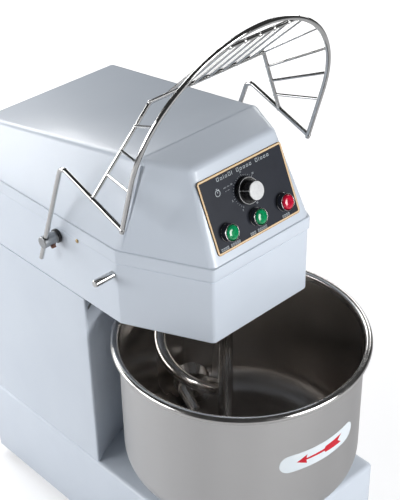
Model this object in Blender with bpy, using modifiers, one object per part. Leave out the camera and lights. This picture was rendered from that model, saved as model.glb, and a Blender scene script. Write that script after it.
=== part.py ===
"""Spiral dough mixer: a bowl that turns on a base, a spiral hook and breaker bar that hang from
an overhung head, a wire guard that swings over the bowl, and the belt drive inside.

Metres, +Z up, the front of the machine faces -Y, the floor is z = 0, and the origin lies under the
centre of the machine's box.  Round pieces of the drive stand on vertical axes in the plane x = 0.
"""
import math

import bmesh
import bpy
from mathutils import Matrix, Vector

# ---------------------------------------------------------------- driving dimensions
GAP = 0.0003                      # clearance left between touching pieces
SHEET = 0.0025                    # thickness of the painted sheet steel

FOOT_HEIGHT = 0.015
BASE_HALF_WIDTH = 0.1695
BASE_FRONT = -0.299
BASE_REAR = 0.354
BASE_TOP = 0.179
BASE_EDGE = 0.008                 # radius of the base's rounded edges

COLUMN_HALF_WIDTH = 0.1672
COLUMN_FRONT = 0.029              # the two front corners
COLUMN_HOLLOW = 0.080             # the middle of the front, which curves round the bowl
COLUMN_REAR = 0.3375
COVER_PLATE_REAR = 0.340

HEAD_BOTTOM = 0.530
UNDER_HEAD = HEAD_BOTTOM - GAP    # where parts touch the head's floor from below
ON_HEAD_FLOOR = HEAD_BOTTOM + 0.003 + GAP
SHAFT_TOP = 0.655                 # spiral and motor shafts
BAND_BOTTOM = 0.644
LIP = 0.666                       # top of the head's band, where the hood sits
HOOD_TOP = 0.802
HEAD_HALF_WIDTH = 0.1695          # over the band
HEAD_SIDE_FRONT = -0.053          # where the side walls turn into the angled walls
HEAD_FRONT = -0.1924
HEAD_FRONT_HALF = 0.1025
BAND_PROUD = 0.0023
HOOD_INSET = 0.0025
SIDE_LEAN = 0.360                 # inward run of the hood's faces for each unit of height
ANGLE_LEAN = 0.295
FRONT_LEAN = 0.436
REAR_LEAN = 0.38
ROOF_BREAK = -0.062               # y where the roof starts to fall to the rear
ROOF_FALL = 0.162

BOWL_Y = -0.146                   # axis of the bowl
BOWL_BOTTOM = 0.214
BOWL_RIM = 0.474
BOWL_RADIUS = 0.1955              # outside of the wall
BOWL_SHEET = 0.002
BOWL_CORNER = 0.052
BEAD_RADIUS = 0.0063
BEAD_CENTRE = 0.2017

HOOK_Y = -0.028                   # axis of the spiral
HOOK_RADIUS = 0.052               # of the bar's centre line
HOOK_BAR = 0.010                  # radius of the bar
HOOK_PITCH = 0.2344
HOOK_TOP_ANGLE = 0.56             # where the full radius is reached
HOOK_TOP = 0.470
HOOK_START = 0.4997               # height of its joint with the shaft
HOOK_TURN = math.radians(376.0)   # round the axis, from the top angle to the bend at its end
HOOK_LEVELS = 0.72                # share of the turn after which the bar levels out
HOOK_TIP = (0.0044, -0.0035, 0.232)    # from the axis, close to the bowl's floor
BREAKER_Y = -0.110
BREAKER_RADIUS = 0.0125

SPIRAL_SHAFT = 0.0125             # radii of the shafts
MOTOR_SHAFT = 0.012
COLUMN_SHAFT = 0.010
BOWL_SHAFT = 0.0175
MOTOR_Y = 0.254
MOTOR_RADIUS = 0.070
COLUMN_SHAFT_Y = 0.116
BELT_LOW, BELT_HIGH = 0.612, 0.640          # drive belt level
CHAIN_LOW, CHAIN_HIGH = 0.594, 0.604        # transfer chain level
BOWL_BELT_LOW, BOWL_BELT_HIGH = 0.070, 0.095
SPIRAL_PULLEY = 0.130
MOTOR_PULLEY = 0.026
PINION = 0.022
SPROCKET = 0.066
BOWL_PULLEY = 0.108
BOWL_PINION = 0.030
BRACKET_LOW, BRACKET_HIGH = 0.505, 0.511

PIVOT_Y, PIVOT_Z = 0.089, 0.627   # axis of the guard
RAISE = math.radians(69.3)        # how far the guard stands up from level
GUARD_X = 0.1925                  # centre line of the arms
ARM = 0.170                       # pivot to bend
DROP = 0.141                      # bend to hoop
INNER_DROP = 0.0735               # bend to inner frame
GUARD_TILT = 0.075                # rise of the hoop and inner frame along the arms
HOOP_RADIUS = 0.1925
HOOP_CENTRE = 0.259               # along the arms from the pivot
INNER_FRONT = 0.313
INNER_HALF = 0.112
CHORD = 0.436
WIRE = 0.004                      # radii of the wires
INNER_WIRE = 0.003
CROSS_WIRE = 0.0022
PEG_Y, PEG_Z = -0.0423, 0.618
SCREW_Y, SCREW_Z = 0.040, 0.639   # small screw in each side of the head
HUB_RADIUS = 0.0098
BOLT_X = 0.1816                   # clamp bolts of the guard's hubs
BOLT_LEAN = math.radians(28.0)    # from straight down towards the front

KNOB_U, KNOB_V = -0.004, 0.083    # places on the panel: across, and up its slope
KNOB_TOP = 0.027                  # above the panel
BUTTON_V = 0.040
BUTTONS = {"high_speed": -0.058, "low_speed": 0.001, "stop": 0.058}
PLATE_HALF = 0.086
PLATE_LOW, PLATE_HIGH = 0.013, 0.126
PLATE = 0.0015

# ---------------------------------------------------------------- scene set-up
for old in list(bpy.data.objects):
    bpy.data.objects.remove(old, do_unlink=True)

PARTS = bpy.data.collections.new("spiral_dough_mixer")
CUTTERS = bpy.data.collections.new("cutters")
bpy.context.scene.collection.children.link(PARTS)
bpy.context.scene.collection.children.link(CUTTERS)

AXIS_TURNS = {
    'Z': (0.0, 0.0, 0.0),
    'X': (0.0, math.radians(90.0), 0.0),
    '-X': (0.0, math.radians(-90.0), 0.0),
    'Y': (math.radians(-90.0), 0.0, 0.0),
}

FINISHES = {
    "paint": ((0.70, 0.75, 0.82), 0.35, 0.0),
    "steel": ((0.62, 0.62, 0.62), 0.25, 1.0),
    "zinc": ((0.55, 0.56, 0.58), 0.40, 1.0),
    "cast": ((0.20, 0.21, 0.22), 0.60, 0.6),
    "rubber": ((0.02, 0.02, 0.02), 0.80, 0.0),
    "black": ((0.03, 0.03, 0.03), 0.40, 0.0),
    "plate": ((0.05, 0.06, 0.08), 0.35, 0.0),
    "white": ((0.85, 0.86, 0.87), 0.30, 0.0),
    "green": ((0.00, 0.35, 0.12), 0.25, 0.0),
    "red": ((0.65, 0.02, 0.06), 0.25, 0.0),
    "brass": ((0.70, 0.50, 0.22), 0.35, 1.0),
    "motor": ((0.10, 0.22, 0.38), 0.45, 0.2),
}


def finish(obj, name):
    """Give the object a Principled material of its own."""
    colour, roughness, metallic = FINISHES[name]
    material = bpy.data.materials.new(obj.name)
    material.use_nodes = True
    shader = material.node_tree.nodes["Principled BSDF"]
    shader.inputs["Base Color"].default_value = (*colour, 1.0)
    shader.inputs["Roughness"].default_value = roughness
    shader.inputs["Metallic"].default_value = metallic
    obj.data.materials.append(material)
    return obj


def mesh_object(name, mesh):
    """Wrap a mesh in an object of the parts collection."""
    obj = bpy.data.objects.new(name, mesh)
    PARTS.objects.link(obj)
    return obj


def smooth(obj, angle=35.0):
    """Shade round faces smooth and keep the real edges sharp."""
    obj.data.shade_smooth()
    obj.data.set_sharp_from_angle(angle=math.radians(angle))
    return obj


def as_cutter(obj):
    """Move an object to the cutters: never rendered, never a part."""
    PARTS.objects.unlink(obj)
    CUTTERS.objects.link(obj)
    obj.hide_render = True
    obj.display_type = 'WIRE'
    return obj


def boolean(obj, tool, operation='DIFFERENCE'):
    """Cut with, or join to, another object."""
    modifier = obj.modifiers.new(operation.lower(), 'BOOLEAN')
    modifier.operation = operation
    modifier.solver = 'EXACT'
    modifier.object = as_cutter(tool)
    return obj


def box(name, low, high, edge=0.0, segments=2):
    """A box between two corners, with rounded edges if asked."""
    low, high = Vector(low), Vector(high)
    mesh = bpy.data.meshes.new(name)
    shape = bmesh.new()
    bmesh.ops.create_cube(shape, size=1.0, matrix=Matrix.Diagonal((*(high - low), 1.0)))
    shape.to_mesh(mesh)
    shape.free()
    obj = mesh_object(name, mesh)
    obj.location = (low + high) / 2
    if edge:
        bevel = obj.modifiers.new("edges", 'BEVEL')
        bevel.width = edge
        bevel.segments = segments
    return obj


def turned(name, profile, at=(0.0, 0.0, 0.0), along='Z', steps=22):
    """Turn a profile of (radius, height) about its axis: down the outside, top to bottom."""
    closed = profile[0][0] > 0 or profile[-1][0] > 0
    mesh = bpy.data.meshes.new(name)
    points = [(r, 0.0, h) for r, h in profile]
    edges = [(i, i + 1) for i in range(len(points) - 1)]
    if closed:
        edges.append((len(points) - 1, 0))
    mesh.from_pydata(points, edges, [])
    obj = mesh_object(name, mesh)
    screw = obj.modifiers.new("turn", 'SCREW')
    screw.steps = steps
    screw.render_steps = steps
    screw.use_merge_vertices = True
    screw.merge_threshold = 0.00001
    screw.use_smooth_shade = True
    obj.location = at
    obj.rotation_euler = AXIS_TURNS[along]
    return obj


def rod(radius, low, high):
    """Profile of a plain rod."""
    return [(0.0, high), (radius, high), (radius, low), (0.0, low)]


def ring(outer, inner, low, high):
    """Profile of a plain ring."""
    return [(outer, high), (outer, low), (inner, low), (inner, high)]


def arc(cx, cy, radius, start, end, count):
    """Points along an arc, angles in degrees."""
    angles = [math.radians(start + (end - start) * i / count) for i in range(count + 1)]
    return [(cx + radius * math.cos(a), cy + radius * math.sin(a)) for a in angles]


def prism(name, outline, low, high):
    """Stand a flat outline up between two heights."""
    mesh = bpy.data.meshes.new(name)
    shape = bmesh.new()
    face = shape.faces.new([shape.verts.new((x, y, low)) for x, y in outline])
    shape.normal_update()
    if face.normal.z > 0:
        face.normal_flip()
    raised = bmesh.ops.extrude_face_region(shape, geom=[face])["geom"]
    corners = [part for part in raised if isinstance(part, bmesh.types.BMVert)]
    bmesh.ops.translate(shape, verts=corners, vec=(0.0, 0.0, high - low))
    bmesh.ops.recalc_face_normals(shape, faces=shape.faces)
    shape.to_mesh(mesh)
    shape.free()
    return mesh_object(name, mesh)


def rounded(outline, radius, count=3, only=None):
    """Round the corners of a counter-clockwise outline with short arcs: all, or those listed."""
    result = []
    size = len(outline)
    for i, corner in enumerate(outline):
        corner = Vector(corner)
        if only is not None and i not in only:
            result.append(corner)
            continue
        back = (Vector(outline[i - 1]) - corner).normalized()
        ahead = (Vector(outline[(i + 1) % size]) - corner).normalized()
        half = back.angle(ahead) / 2
        middle = corner + (back + ahead).normalized() * radius / math.sin(half)
        start = corner + back * radius / math.tan(half) - middle
        turn = math.pi - 2 * half
        for k in range(count + 1):
            angle = turn * k / count
            result.append(middle + Matrix.Rotation(angle, 2) @ start)
    return [(point.x, point.y) for point in result]


def wire(name, points, radius, bevel_resolution=2):
    """A round bar along a list of points, as one welded mesh with closed ends."""
    curve = bpy.data.curves.new(name, 'CURVE')
    curve.dimensions = '3D'
    curve.bevel_depth = radius
    curve.bevel_resolution = bevel_resolution
    curve.use_fill_caps = True
    spline = curve.splines.new('POLY')
    spline.points.add(len(points) - 1)
    for point, place in zip(spline.points, points):
        point.co = (*place, 1.0)
    guide = bpy.data.objects.new(name + "_guide", curve)
    PARTS.objects.link(guide)
    bpy.context.view_layer.update()
    depsgraph = bpy.context.evaluated_depsgraph_get()
    mesh = bpy.data.meshes.new_from_object(guide.evaluated_get(depsgraph))
    mesh.name = name
    bpy.data.objects.remove(guide)
    bpy.data.curves.remove(curve)
    shape = bmesh.new()
    shape.from_mesh(mesh)
    bmesh.ops.remove_doubles(shape, verts=shape.verts, dist=0.00001)
    bmesh.ops.recalc_face_normals(shape, faces=shape.faces)
    shape.to_mesh(mesh)
    shape.free()
    return smooth(mesh_object(name, mesh))


def bent(points, radius, count=4):
    """Round the corners of a path in space."""
    points = [Vector(point) for point in points]
    result = [points[0]]
    for before, corner, after in zip(points, points[1:], points[2:]):
        back = (before - corner).normalized()
        ahead = (after - corner).normalized()
        half = back.angle(ahead) / 2
        middle = corner + (back + ahead).normalized() * radius / math.sin(half)
        start = corner + back * radius / math.tan(half) - middle
        axis = back.cross(ahead)
        turn = -(math.pi - 2 * half)
        for k in range(count + 1):
            result.append(middle + Matrix.Rotation(turn * k / count, 3, axis) @ start)
    return result + [points[-1]]


def outline_ring(name, outer, inner, low, high):
    """A closed band between two outlines."""
    return boolean(prism(name, outer, low, high),
                   prism(name + "_inside", inner, low - 0.01, high + 0.01))


def empty(name, place, turn):
    """An unseen frame that pieces are placed in."""
    obj = bpy.data.objects.new(name, None)
    PARTS.objects.link(obj)
    obj.location = place
    obj.rotation_euler = (turn, 0.0, 0.0)
    return obj


def held(obj, parent, place=None, turn=None):
    """Place an object in its parent's frame."""
    obj.parent = parent
    if place is not None:
        obj.location = place
    if turn is not None:
        obj.rotation_euler = turn
    return obj


# ---------------------------------------------------------------- base, feet and column
def make_base():
    wall = 2 * SHEET
    flange = 0.065
    base = box("base_frame", (-BASE_HALF_WIDTH, BASE_FRONT, FOOT_HEIGHT),
               (BASE_HALF_WIDTH, BASE_REAR, BASE_TOP), BASE_EDGE, 3)
    boolean(base, box("base_hollow",
                      (-BASE_HALF_WIDTH + wall, BASE_FRONT + wall, FOOT_HEIGHT + 0.003),
                      (BASE_HALF_WIDTH - wall, BASE_REAR - wall, BASE_TOP - 0.003)))
    boolean(base, box("base_underside_opening",
                      (-BASE_HALF_WIDTH + flange, BASE_FRONT + flange, 0.0),
                      (BASE_HALF_WIDTH - flange, BASE_REAR - flange, FOOT_HEIGHT + 0.01)))
    boolean(base, turned("base_bowl_hole", rod(0.0403, 0.15, 0.20), (0.0, BOWL_Y, 0.0)))
    boolean(base, turned("base_shaft_hole", rod(0.020, 0.15, 0.20), (0.0, COLUMN_SHAFT_Y, 0.0)))
    finish(base, "paint")


def make_feet():
    top = FOOT_HEIGHT - GAP
    profile = [(0.0, top), (0.022, top), (0.022, 0.004), (0.020, 0.0), (0.0, 0.0)]
    for side, x in (("left", -0.140), ("right", 0.140)):
        for end, y in (("front", BASE_FRONT + 0.045), ("rear", BASE_REAR - 0.045)):
            finish(turned(f"foot_{end}_{side}", profile, (x, y, 0.0), steps=20), "rubber")


def column_outline(inset, rear, radius):
    """The column seen from above: its front is an arc that stays clear of the bowl."""
    side = COLUMN_HALF_WIDTH
    sag = COLUMN_HOLLOW - COLUMN_FRONT
    curve = (side ** 2 + sag ** 2) / (2 * sag)
    centre = COLUMN_HOLLOW - curve
    spread = math.degrees(math.asin((side - inset) / (curve + inset)))
    front = arc(0.0, centre, curve + inset, 90 + spread, 90 - spread, 12)
    corners = front + [(side - inset, rear), (-side + inset, rear)]
    if radius:
        corners = rounded(corners, radius, 3, (0, len(front) - 1))
    return corners


def make_column():
    low = BASE_TOP + GAP
    high = HEAD_BOTTOM - GAP
    side = COLUMN_HALF_WIDTH
    column = prism("column_shell", column_outline(0.0, COLUMN_REAR, 0.006), low, high)
    boolean(column, prism("column_hollow", column_outline(SHEET, COLUMN_REAR + 0.01, 0.004),
                          low - 0.01, high + 0.01))
    finish(column, "paint")
    cover = box("rear_cover", (-side, COLUMN_REAR + GAP, low + 0.003),
                (side, COVER_PLATE_REAR, high - 0.003))
    boolean(cover, turned("rear_cover_hole", rod(0.0083, 0.33, 0.35), (0.10, 0.0, 0.215), 'Y'))
    finish(cover, "paint")
    bracket = prism("motor_bracket", column_outline(SHEET + 2 * GAP, COLUMN_REAR - GAP, 0.004),
                    BRACKET_LOW, BRACKET_HIGH)
    for name, y, radius in (("motor", MOTOR_Y, MOTOR_SHAFT),
                            ("column", COLUMN_SHAFT_Y, COLUMN_SHAFT)):
        boolean(bracket, turned(f"bracket_{name}_hole", rod(radius + 0.001, 0.49, 0.53),
                                (0.0, y, 0.0)))
    finish(bracket, "zinc")
    contactor = box("contactor_box", (-side + SHEET + GAP, 0.200, 0.360), (-0.090, 0.320, 0.460),
                    0.003, 1)
    finish(contactor, "black")
    gland = [(0.0075, 0.3535), (0.0095, 0.3515), (0.0095, 0.347), (0.0125, 0.347),
             (0.0125, COVER_PLATE_REAR + GAP), (0.008, COVER_PLATE_REAR + GAP), (0.008, 0.330),
             (0.0045, 0.330), (0.0045, 0.3535)]
    finish(turned("cable_gland", gland, (0.10, 0.0, 0.215), 'Y', 16), "black")


# ---------------------------------------------------------------- head and hood
def head_corners(inset):
    """Half widths and depths of the head seen from above, moved in from the band's outline."""
    side = HEAD_HALF_WIDTH - inset
    front = HEAD_FRONT + inset
    rear = COVER_PLATE_REAR - inset
    out = angled_wall()
    reach = out.dot(Vector((HEAD_HALF_WIDTH, HEAD_SIDE_FRONT))) - inset
    side_front = (reach - out.x * side) / out.y
    front_half = (reach - out.y * front) / out.x
    return side, side_front, front_half, front, rear


def angled_wall():
    """Outward direction of the wall between the right side and the front."""
    run = Vector((HEAD_FRONT_HALF - HEAD_HALF_WIDTH, HEAD_FRONT - HEAD_SIDE_FRONT)).normalized()
    return Vector((-run.y, run.x))


def head_outline(inset, radius):
    side, side_front, front_half, front, rear = head_corners(inset)
    corners = [(side, rear), (-side, rear), (-side, side_front), (-front_half, front),
               (front_half, front), (side, side_front)]
    return rounded(corners, radius)


def make_head():
    inner = BAND_PROUD + SHEET
    head = prism("head_housing", head_outline(BAND_PROUD, 0.006), HEAD_BOTTOM, BAND_BOTTOM + 0.005)
    boolean(head, prism("head_band", head_outline(0.0, 0.008), BAND_BOTTOM, LIP), 'UNION')
    boolean(head, prism("head_hollow", head_outline(inner, 0.004), HEAD_BOTTOM + 0.003, LIP + 0.01))
    boolean(head, box("head_rear_opening", (-0.150, 0.095, HEAD_BOTTOM - 0.01),
                      (0.150, 0.325, HEAD_BOTTOM + 0.01)))
    for name, y, radius in (("spiral", HOOK_Y, 0.0165), ("breaker", BREAKER_Y, 0.0103)):
        boolean(head, turned(f"head_{name}_hole", rod(radius, 0.52, 0.54), (0.0, y, 0.0)))
    for name, y, z, radius in (("pivot", PIVOT_Y, PIVOT_Z, 0.0063), ("peg", PEG_Y, PEG_Z, 0.0063),
                               ("screw", SCREW_Y, SCREW_Z, 0.0025)):
        boolean(head, turned(f"head_{name}_holes", rod(radius, -0.2, 0.2), (0.0, y, z), 'X', 16))
    finish(head, "paint")


def hood_solid(name, moved_in, low):
    """The hood's faceted form: a block cut back by the plane of each face."""
    side, side_front, front_half, front, rear = head_corners(HOOD_INSET)
    out = angled_wall()
    faces = [((0, -1, FRONT_LEAN), (0, front, LIP)), ((0, 1, REAR_LEAN), (0, rear, LIP)),
             ((0, 0, 1), (0, 0, HOOD_TOP)), ((0, ROOF_FALL, 1), (0, ROOF_BREAK, HOOD_TOP))]
    for hand in (-1, 1):
        faces.append(((hand, 0, SIDE_LEAN), (hand * side, 0, LIP)))
        faces.append(((hand * out.x, out.y, ANGLE_LEAN), (hand * side, side_front, LIP)))
    mesh = bpy.data.meshes.new(name)
    shape = bmesh.new()
    bmesh.ops.create_cube(shape, size=1.0, matrix=Matrix.Translation((0.0, 0.0, low + 0.5)))
    for normal, point in faces:
        normal = Vector(normal).normalized()
        geometry = shape.verts[:] + shape.edges[:] + shape.faces[:]
        bmesh.ops.bisect_plane(shape, geom=geometry, plane_co=Vector(point) - normal * moved_in,
                               plane_no=normal, clear_outer=True)
        rim = [edge for edge in shape.edges if edge.is_boundary]
        bmesh.ops.holes_fill(shape, edges=rim)
    bmesh.ops.recalc_face_normals(shape, faces=shape.faces)
    shape.to_mesh(mesh)
    shape.free()
    return mesh_object(name, mesh)


def make_hood(panel):
    hood = hood_solid("head_cover", 0.0, LIP - 0.02)
    bevel = hood.modifiers.new("edges", 'BEVEL')
    bevel.width = 0.004
    bevel.segments = 2
    bevel.limit_method = 'ANGLE'
    boolean(hood, box("hood_trim", (-0.3, -0.4, LIP - 0.05), (0.3, 0.5, LIP + GAP)))
    boolean(hood, hood_solid("hood_hollow", 0.002, LIP - 0.03))
    for name, u, v, radius in panel_holes():
        boolean(hood, held(turned(f"hood_{name}_hole", rod(radius, -0.03, 0.03)), panel, (u, v, 0)))
    finish(hood, "paint")


# ---------------------------------------------------------------- control panel
def panel_holes():
    """Name, place and radius of each hole through the hood's front face and the plate."""
    holes = [("timer", KNOB_U, KNOB_V, 0.0045)]
    for name, u in BUTTONS.items():
        holes.append((name, u, BUTTON_V, 0.0108))
    return holes


def make_panel(panel):
    half_height = (PLATE_HIGH - PLATE_LOW) / 2
    corners = [(-PLATE_HALF, -half_height), (PLATE_HALF, -half_height),
               (PLATE_HALF, half_height), (-PLATE_HALF, half_height)]
    plate = prism("control_plate", rounded(corners, 0.005), GAP, GAP + PLATE)
    middle = (PLATE_LOW + PLATE_HIGH) / 2
    held(plate, panel, (0.0, middle, 0.0))
    for name, u, v, radius in panel_holes():
        hole = turned(f"plate_{name}_hole", rod(radius, -0.01, 0.02))
        boolean(plate, held(hole, panel, (u, v, 0.0)))
    finish(plate, "plate")

    front = PLATE + 2 * GAP
    knob = [(0.0, KNOB_TOP - 0.0012), (0.0145, KNOB_TOP - 0.0012), (0.0148, 0.0100),
            (0.0195, 0.0100), (0.0205, 0.0088), (0.0205, front), (0.0040, front),
            (0.0030, front - 0.0005), (0.0030, -0.012), (0.0, -0.012)]
    finish(held(turned("timer_knob", knob), panel, (KNOB_U, KNOB_V, 0.0)), "black")
    cap = [(0.0, KNOB_TOP), (0.0130, KNOB_TOP), (0.0138, KNOB_TOP - 0.0009), (0.0, KNOB_TOP - 0.0009)]
    finish(held(turned("knob_cap", cap), panel, (KNOB_U, KNOB_V, 0.0)), "white")
    timer = box("timer_unit", (-0.028, -0.028, -0.050), (0.028, 0.028, -0.0035), 0.002, 1)
    held(timer, panel, (KNOB_U, KNOB_V, -0.02675))
    boolean(timer, held(turned("timer_bore", rod(0.0033, -0.020, 0.01)), panel,
                        (KNOB_U, KNOB_V, 0.0)))
    finish(timer, "black")

    for name, u in BUTTONS.items():
        place = (u, BUTTON_V, 0.0)
        bezel = [(0.0117, 0.0133), (0.0133, 0.0133), (0.0139, 0.0122), (0.0139, front),
                 (0.0105, front), (0.0105, -0.022), (0.0095, -0.022), (0.0095, 0.0042),
                 (0.0117, 0.0042)]
        finish(held(turned(f"{name}_bezel", bezel), panel, place), "steel")
        cap = [(0.0, 0.0172), (0.0088, 0.0166), (0.0112, 0.0146), (0.0112, 0.0075),
               (0.0092, 0.0075), (0.0092, -0.012), (0.0030, -0.012), (0.0030, -0.018),
               (0.0, -0.018)]
        colour = "red" if name == "stop" else "green"
        finish(held(turned(f"{name}_button", cap), panel, place), colour)
        contact = box(f"{name}_contact", (-0.0120, -0.0120, -0.050), (0.0120, 0.0120, -0.0223),
                      0.001, 1)
        finish(held(contact, panel, (u, BUTTON_V, -0.03615)), "black")


# ---------------------------------------------------------------- guard
def guard_point(x, along, down):
    """A point of the level guard, from the pivot: across, along the arms, and down."""
    return (x, -along, -down)


def tilted(drop, along):
    """Depth below the arms of the hoop or inner frame, which rise towards their front."""
    return drop - GUARD_TILT * (along - ARM)


def make_guard():
    pivot = empty("guard_pivot", (0.0, PIVOT_Y, PIVOT_Z), -RAISE)
    path = [(HOOP_RADIUS, ARM - 0.006)]
    path += arc(0.0, HOOP_CENTRE, HOOP_RADIUS, 0, 180, 36)
    path += [(-HOOP_RADIUS, ARM - 0.006)]
    hoop = [guard_point(x, along, tilted(DROP, along)) for x, along in path]
    guard = held(wire("guard_frame", hoop, WIRE), pivot)
    bars = []
    for hand in (-1, 1):
        x = hand * GUARD_X
        arm = [guard_point(x, -0.040, 0.0), guard_point(x, ARM, 0.0),
               guard_point(x, ARM, DROP + 0.003)]
        bars.append(wire("guard_arm", bent(arm, 0.014), WIRE))
    corner = tilted(INNER_DROP, INNER_FRONT)
    inner = [guard_point(-GUARD_X, ARM, INNER_DROP), guard_point(-INNER_HALF, INNER_FRONT, corner),
             guard_point(INNER_HALF, INNER_FRONT, corner), guard_point(GUARD_X, ARM, INNER_DROP)]
    bars.append(wire("guard_inner", bent(inner, 0.008, 3), INNER_WIRE))
    reach = math.sqrt(HOOP_RADIUS ** 2 - (CHORD - HOOP_CENTRE) ** 2)
    chord_drop = tilted(DROP, CHORD)
    bars.append(wire("guard_chord", [guard_point(-reach, CHORD, chord_drop),
                                     guard_point(reach, CHORD, chord_drop)], INNER_WIRE))
    for start, end in crossbars():
        path = [guard_point(start[0], start[1], tilted(INNER_DROP, start[1])),
                guard_point(end[0], end[1], tilted(DROP, end[1]))]
        bars.append(wire("guard_bar", path, CROSS_WIRE))
    for bar in bars:
        boolean(guard, held(bar, pivot), 'UNION')
    finish(guard, "steel")
    return pivot


def crossbars():
    """Both ends, across and along, of each bar from the inner frame to the hoop or the chord."""
    bars = [((0.0, INNER_FRONT), (0.0, CHORD))]
    for hand in (-1, 1):
        for share, angle in ((0.26, None), (0.51, 11.0), (0.76, 28.0), (1.0, 47.0)):
            start = (hand * (GUARD_X + (INNER_HALF - GUARD_X) * share),
                     ARM + (INNER_FRONT - ARM) * share)
            if angle is None:
                end = (hand * HOOP_RADIUS, 0.243)
            else:
                turn = math.radians(angle)
                end = (hand * HOOP_RADIUS * math.cos(turn),
                       HOOP_CENTRE + HOOP_RADIUS * math.sin(turn))
            bars.append((start, end))
        hoop_x = 0.088
        along = HOOP_CENTRE + math.sqrt(HOOP_RADIUS ** 2 - hoop_x ** 2)
        bars.append(((hand * 0.084, INNER_FRONT), (hand * hoop_x, along)))
        for x in (0.028, 0.056):
            bars.append(((hand * x, INNER_FRONT), (hand * x, CHORD)))
    return bars


def make_guard_mounts(pivot):
    wall = HEAD_HALF_WIDTH - BAND_PROUD
    inside = wall - SHEET - GAP
    at = (0.0, PIVOT_Y, PIVOT_Z)
    for side, along, hand in (("left", '-X', -1), ("right", 'X', 1)):
        washer = ring(0.0115, 0.0063, wall + GAP, 0.1725)
        finish(turned(f"guard_washer_{side}", washer, at, along), "black")
        pin = [(0.0, 0.1838), (0.006, 0.1838), (0.006, inside), (0.010, inside), (0.010, 0.158),
               (0.0, 0.158)]
        finish(turned(f"guard_pin_{side}", pin, at, along, 16), "zinc")
        hub = [(0.0, 0.1985), (0.0088, 0.1985), (HUB_RADIUS, 0.1975), (HUB_RADIUS, 0.1728),
               (0.0063, 0.1728), (0.0063, 0.1842), (0.0, 0.1842)]
        body = turned(f"guard_hub_{side}", hub, along=along)
        held(body, pivot)
        hole = turned(f"hub_arm_hole_{side}", rod(WIRE + GAP, -0.03, 0.03), along='Y', steps=16)
        boolean(body, held(hole, pivot, (hand * GUARD_X, 0.0, 0.0)))
        socket = turned(f"hub_bolt_hole_{side}", rod(0.0033, 0.0075, 0.02), steps=12)
        seat = HUB_RADIUS + 0.0005
        bolt = [(0.0, seat + 0.0047), (0.0050, seat + 0.0047), (0.0050, seat), (0.003, seat),
                (0.003, 0.0078), (0.0, 0.0078)]
        bolt = turned(f"guard_bolt_{side}", bolt, steps=12)
        place = (hand * BOLT_X, 0.0, 0.0)
        turn = (RAISE - math.pi - BOLT_LEAN, 0.0, 0.0)
        boolean(body, held(socket, pivot, place, turn))
        finish(body, "zinc")
        finish(held(bolt, pivot, place, turn), "brass")
        peg = [(0.0, 0.2035), (0.005, 0.2035), (0.006, 0.2025), (0.006, inside), (0.009, inside),
               (0.009, 0.156), (0.0, 0.156)]
        finish(turned(f"guard_peg_{side}", peg, (0.0, PEG_Y, PEG_Z), along, 20), "steel")
        screw = [(0.0, 0.1690), (0.0035, 0.1685), (0.0035, wall + GAP), (0.0022, wall + GAP),
                 (0.0022, 0.160), (0.0, 0.160)]
        finish(turned(f"cover_screw_{side}", screw, (0.0, SCREW_Y, SCREW_Z), along, 16), "brass")
    finish(box("guard_switch", (0.142, 0.104, 0.600), (inside, 0.134, 0.640), 0.002, 1), "black")


# ---------------------------------------------------------------- bowl and its drive
def bowl_profile():
    """Half section of the bowl, from the middle of its floor round the rolled rim to its base."""
    inner = BOWL_RADIUS - BOWL_SHEET
    floor = BOWL_BOTTOM + BOWL_SHEET
    bead_height = BOWL_RIM - BEAD_RADIUS
    inner_corner = BOWL_CORNER - BOWL_SHEET
    points = [(0.0, floor)]
    points += arc(inner - inner_corner, floor + inner_corner, inner_corner, -90, 0, 5)
    points.append((inner, bead_height - 0.006))
    points += arc(BEAD_CENTRE, bead_height, BEAD_RADIUS, 190, -70, 6)
    points.append((BOWL_RADIUS, bead_height - 0.009))
    points += arc(BOWL_RADIUS - BOWL_CORNER, BOWL_BOTTOM + BOWL_CORNER, BOWL_CORNER, 0, -90, 5)
    points.append((0.0, BOWL_BOTTOM))
    return points


def make_bowl():
    at = (0.0, BOWL_Y, 0.0)
    finish(turned("bowl", bowl_profile(), at, steps=48), "steel")
    top = BOWL_BOTTOM - GAP
    table = [(0.0, top), (0.120, top), (0.120, 0.2035), (0.050, 0.1965), (0.045, 0.1868),
             (BOWL_SHAFT + GAP, 0.1868), (BOWL_SHAFT + GAP, 0.1968), (0.0, 0.1968)]
    finish(turned("bowl_turntable", table, at, steps=32), "cast")
    finish(turned("bowl_shaft", rod(BOWL_SHAFT, 0.060, 0.1965), at), "steel")
    bore = BOWL_SHAFT + GAP
    housing = [(0.058, 0.1865), (0.058, BASE_TOP + GAP), (0.040, BASE_TOP + GAP), (0.040, 0.1005),
               (bore, 0.1005), (bore, 0.1865)]
    finish(turned("bowl_bearing_housing", housing, at), "cast")
    finish(pulley("bowl_pulley", BOWL_PULLEY, bore, BOWL_BELT_LOW, BOWL_BELT_HIGH, at), "cast")


def pulley(name, radius, bore, low, high, at):
    """A pulley with a rim, a web and a hub."""
    hub = bore + 0.012
    rim = radius - 0.010
    web_low = (low + high) / 2 - 0.003
    web_high = web_low + 0.006
    profile = [(radius, high), (radius, low), (rim, low), (rim, web_low), (hub, web_low),
               (hub, low), (bore, low), (bore, high), (hub, high), (hub, web_high),
               (rim, web_high), (rim, high)]
    return turned(name, profile, at, steps=28)


def loop_outline(near, near_radius, far, far_radius):
    """Outline of a belt round two pulleys on the y axis, counter-clockwise from above."""
    lean = math.degrees(math.acos((near_radius - far_radius) / (far - near)))
    far_side = arc(0.0, far, far_radius, 90 - lean, 90 + lean, 8)
    near_side = arc(0.0, near, near_radius, 90 + lean, 450 - lean, 18)
    return far_side + near_side


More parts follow.
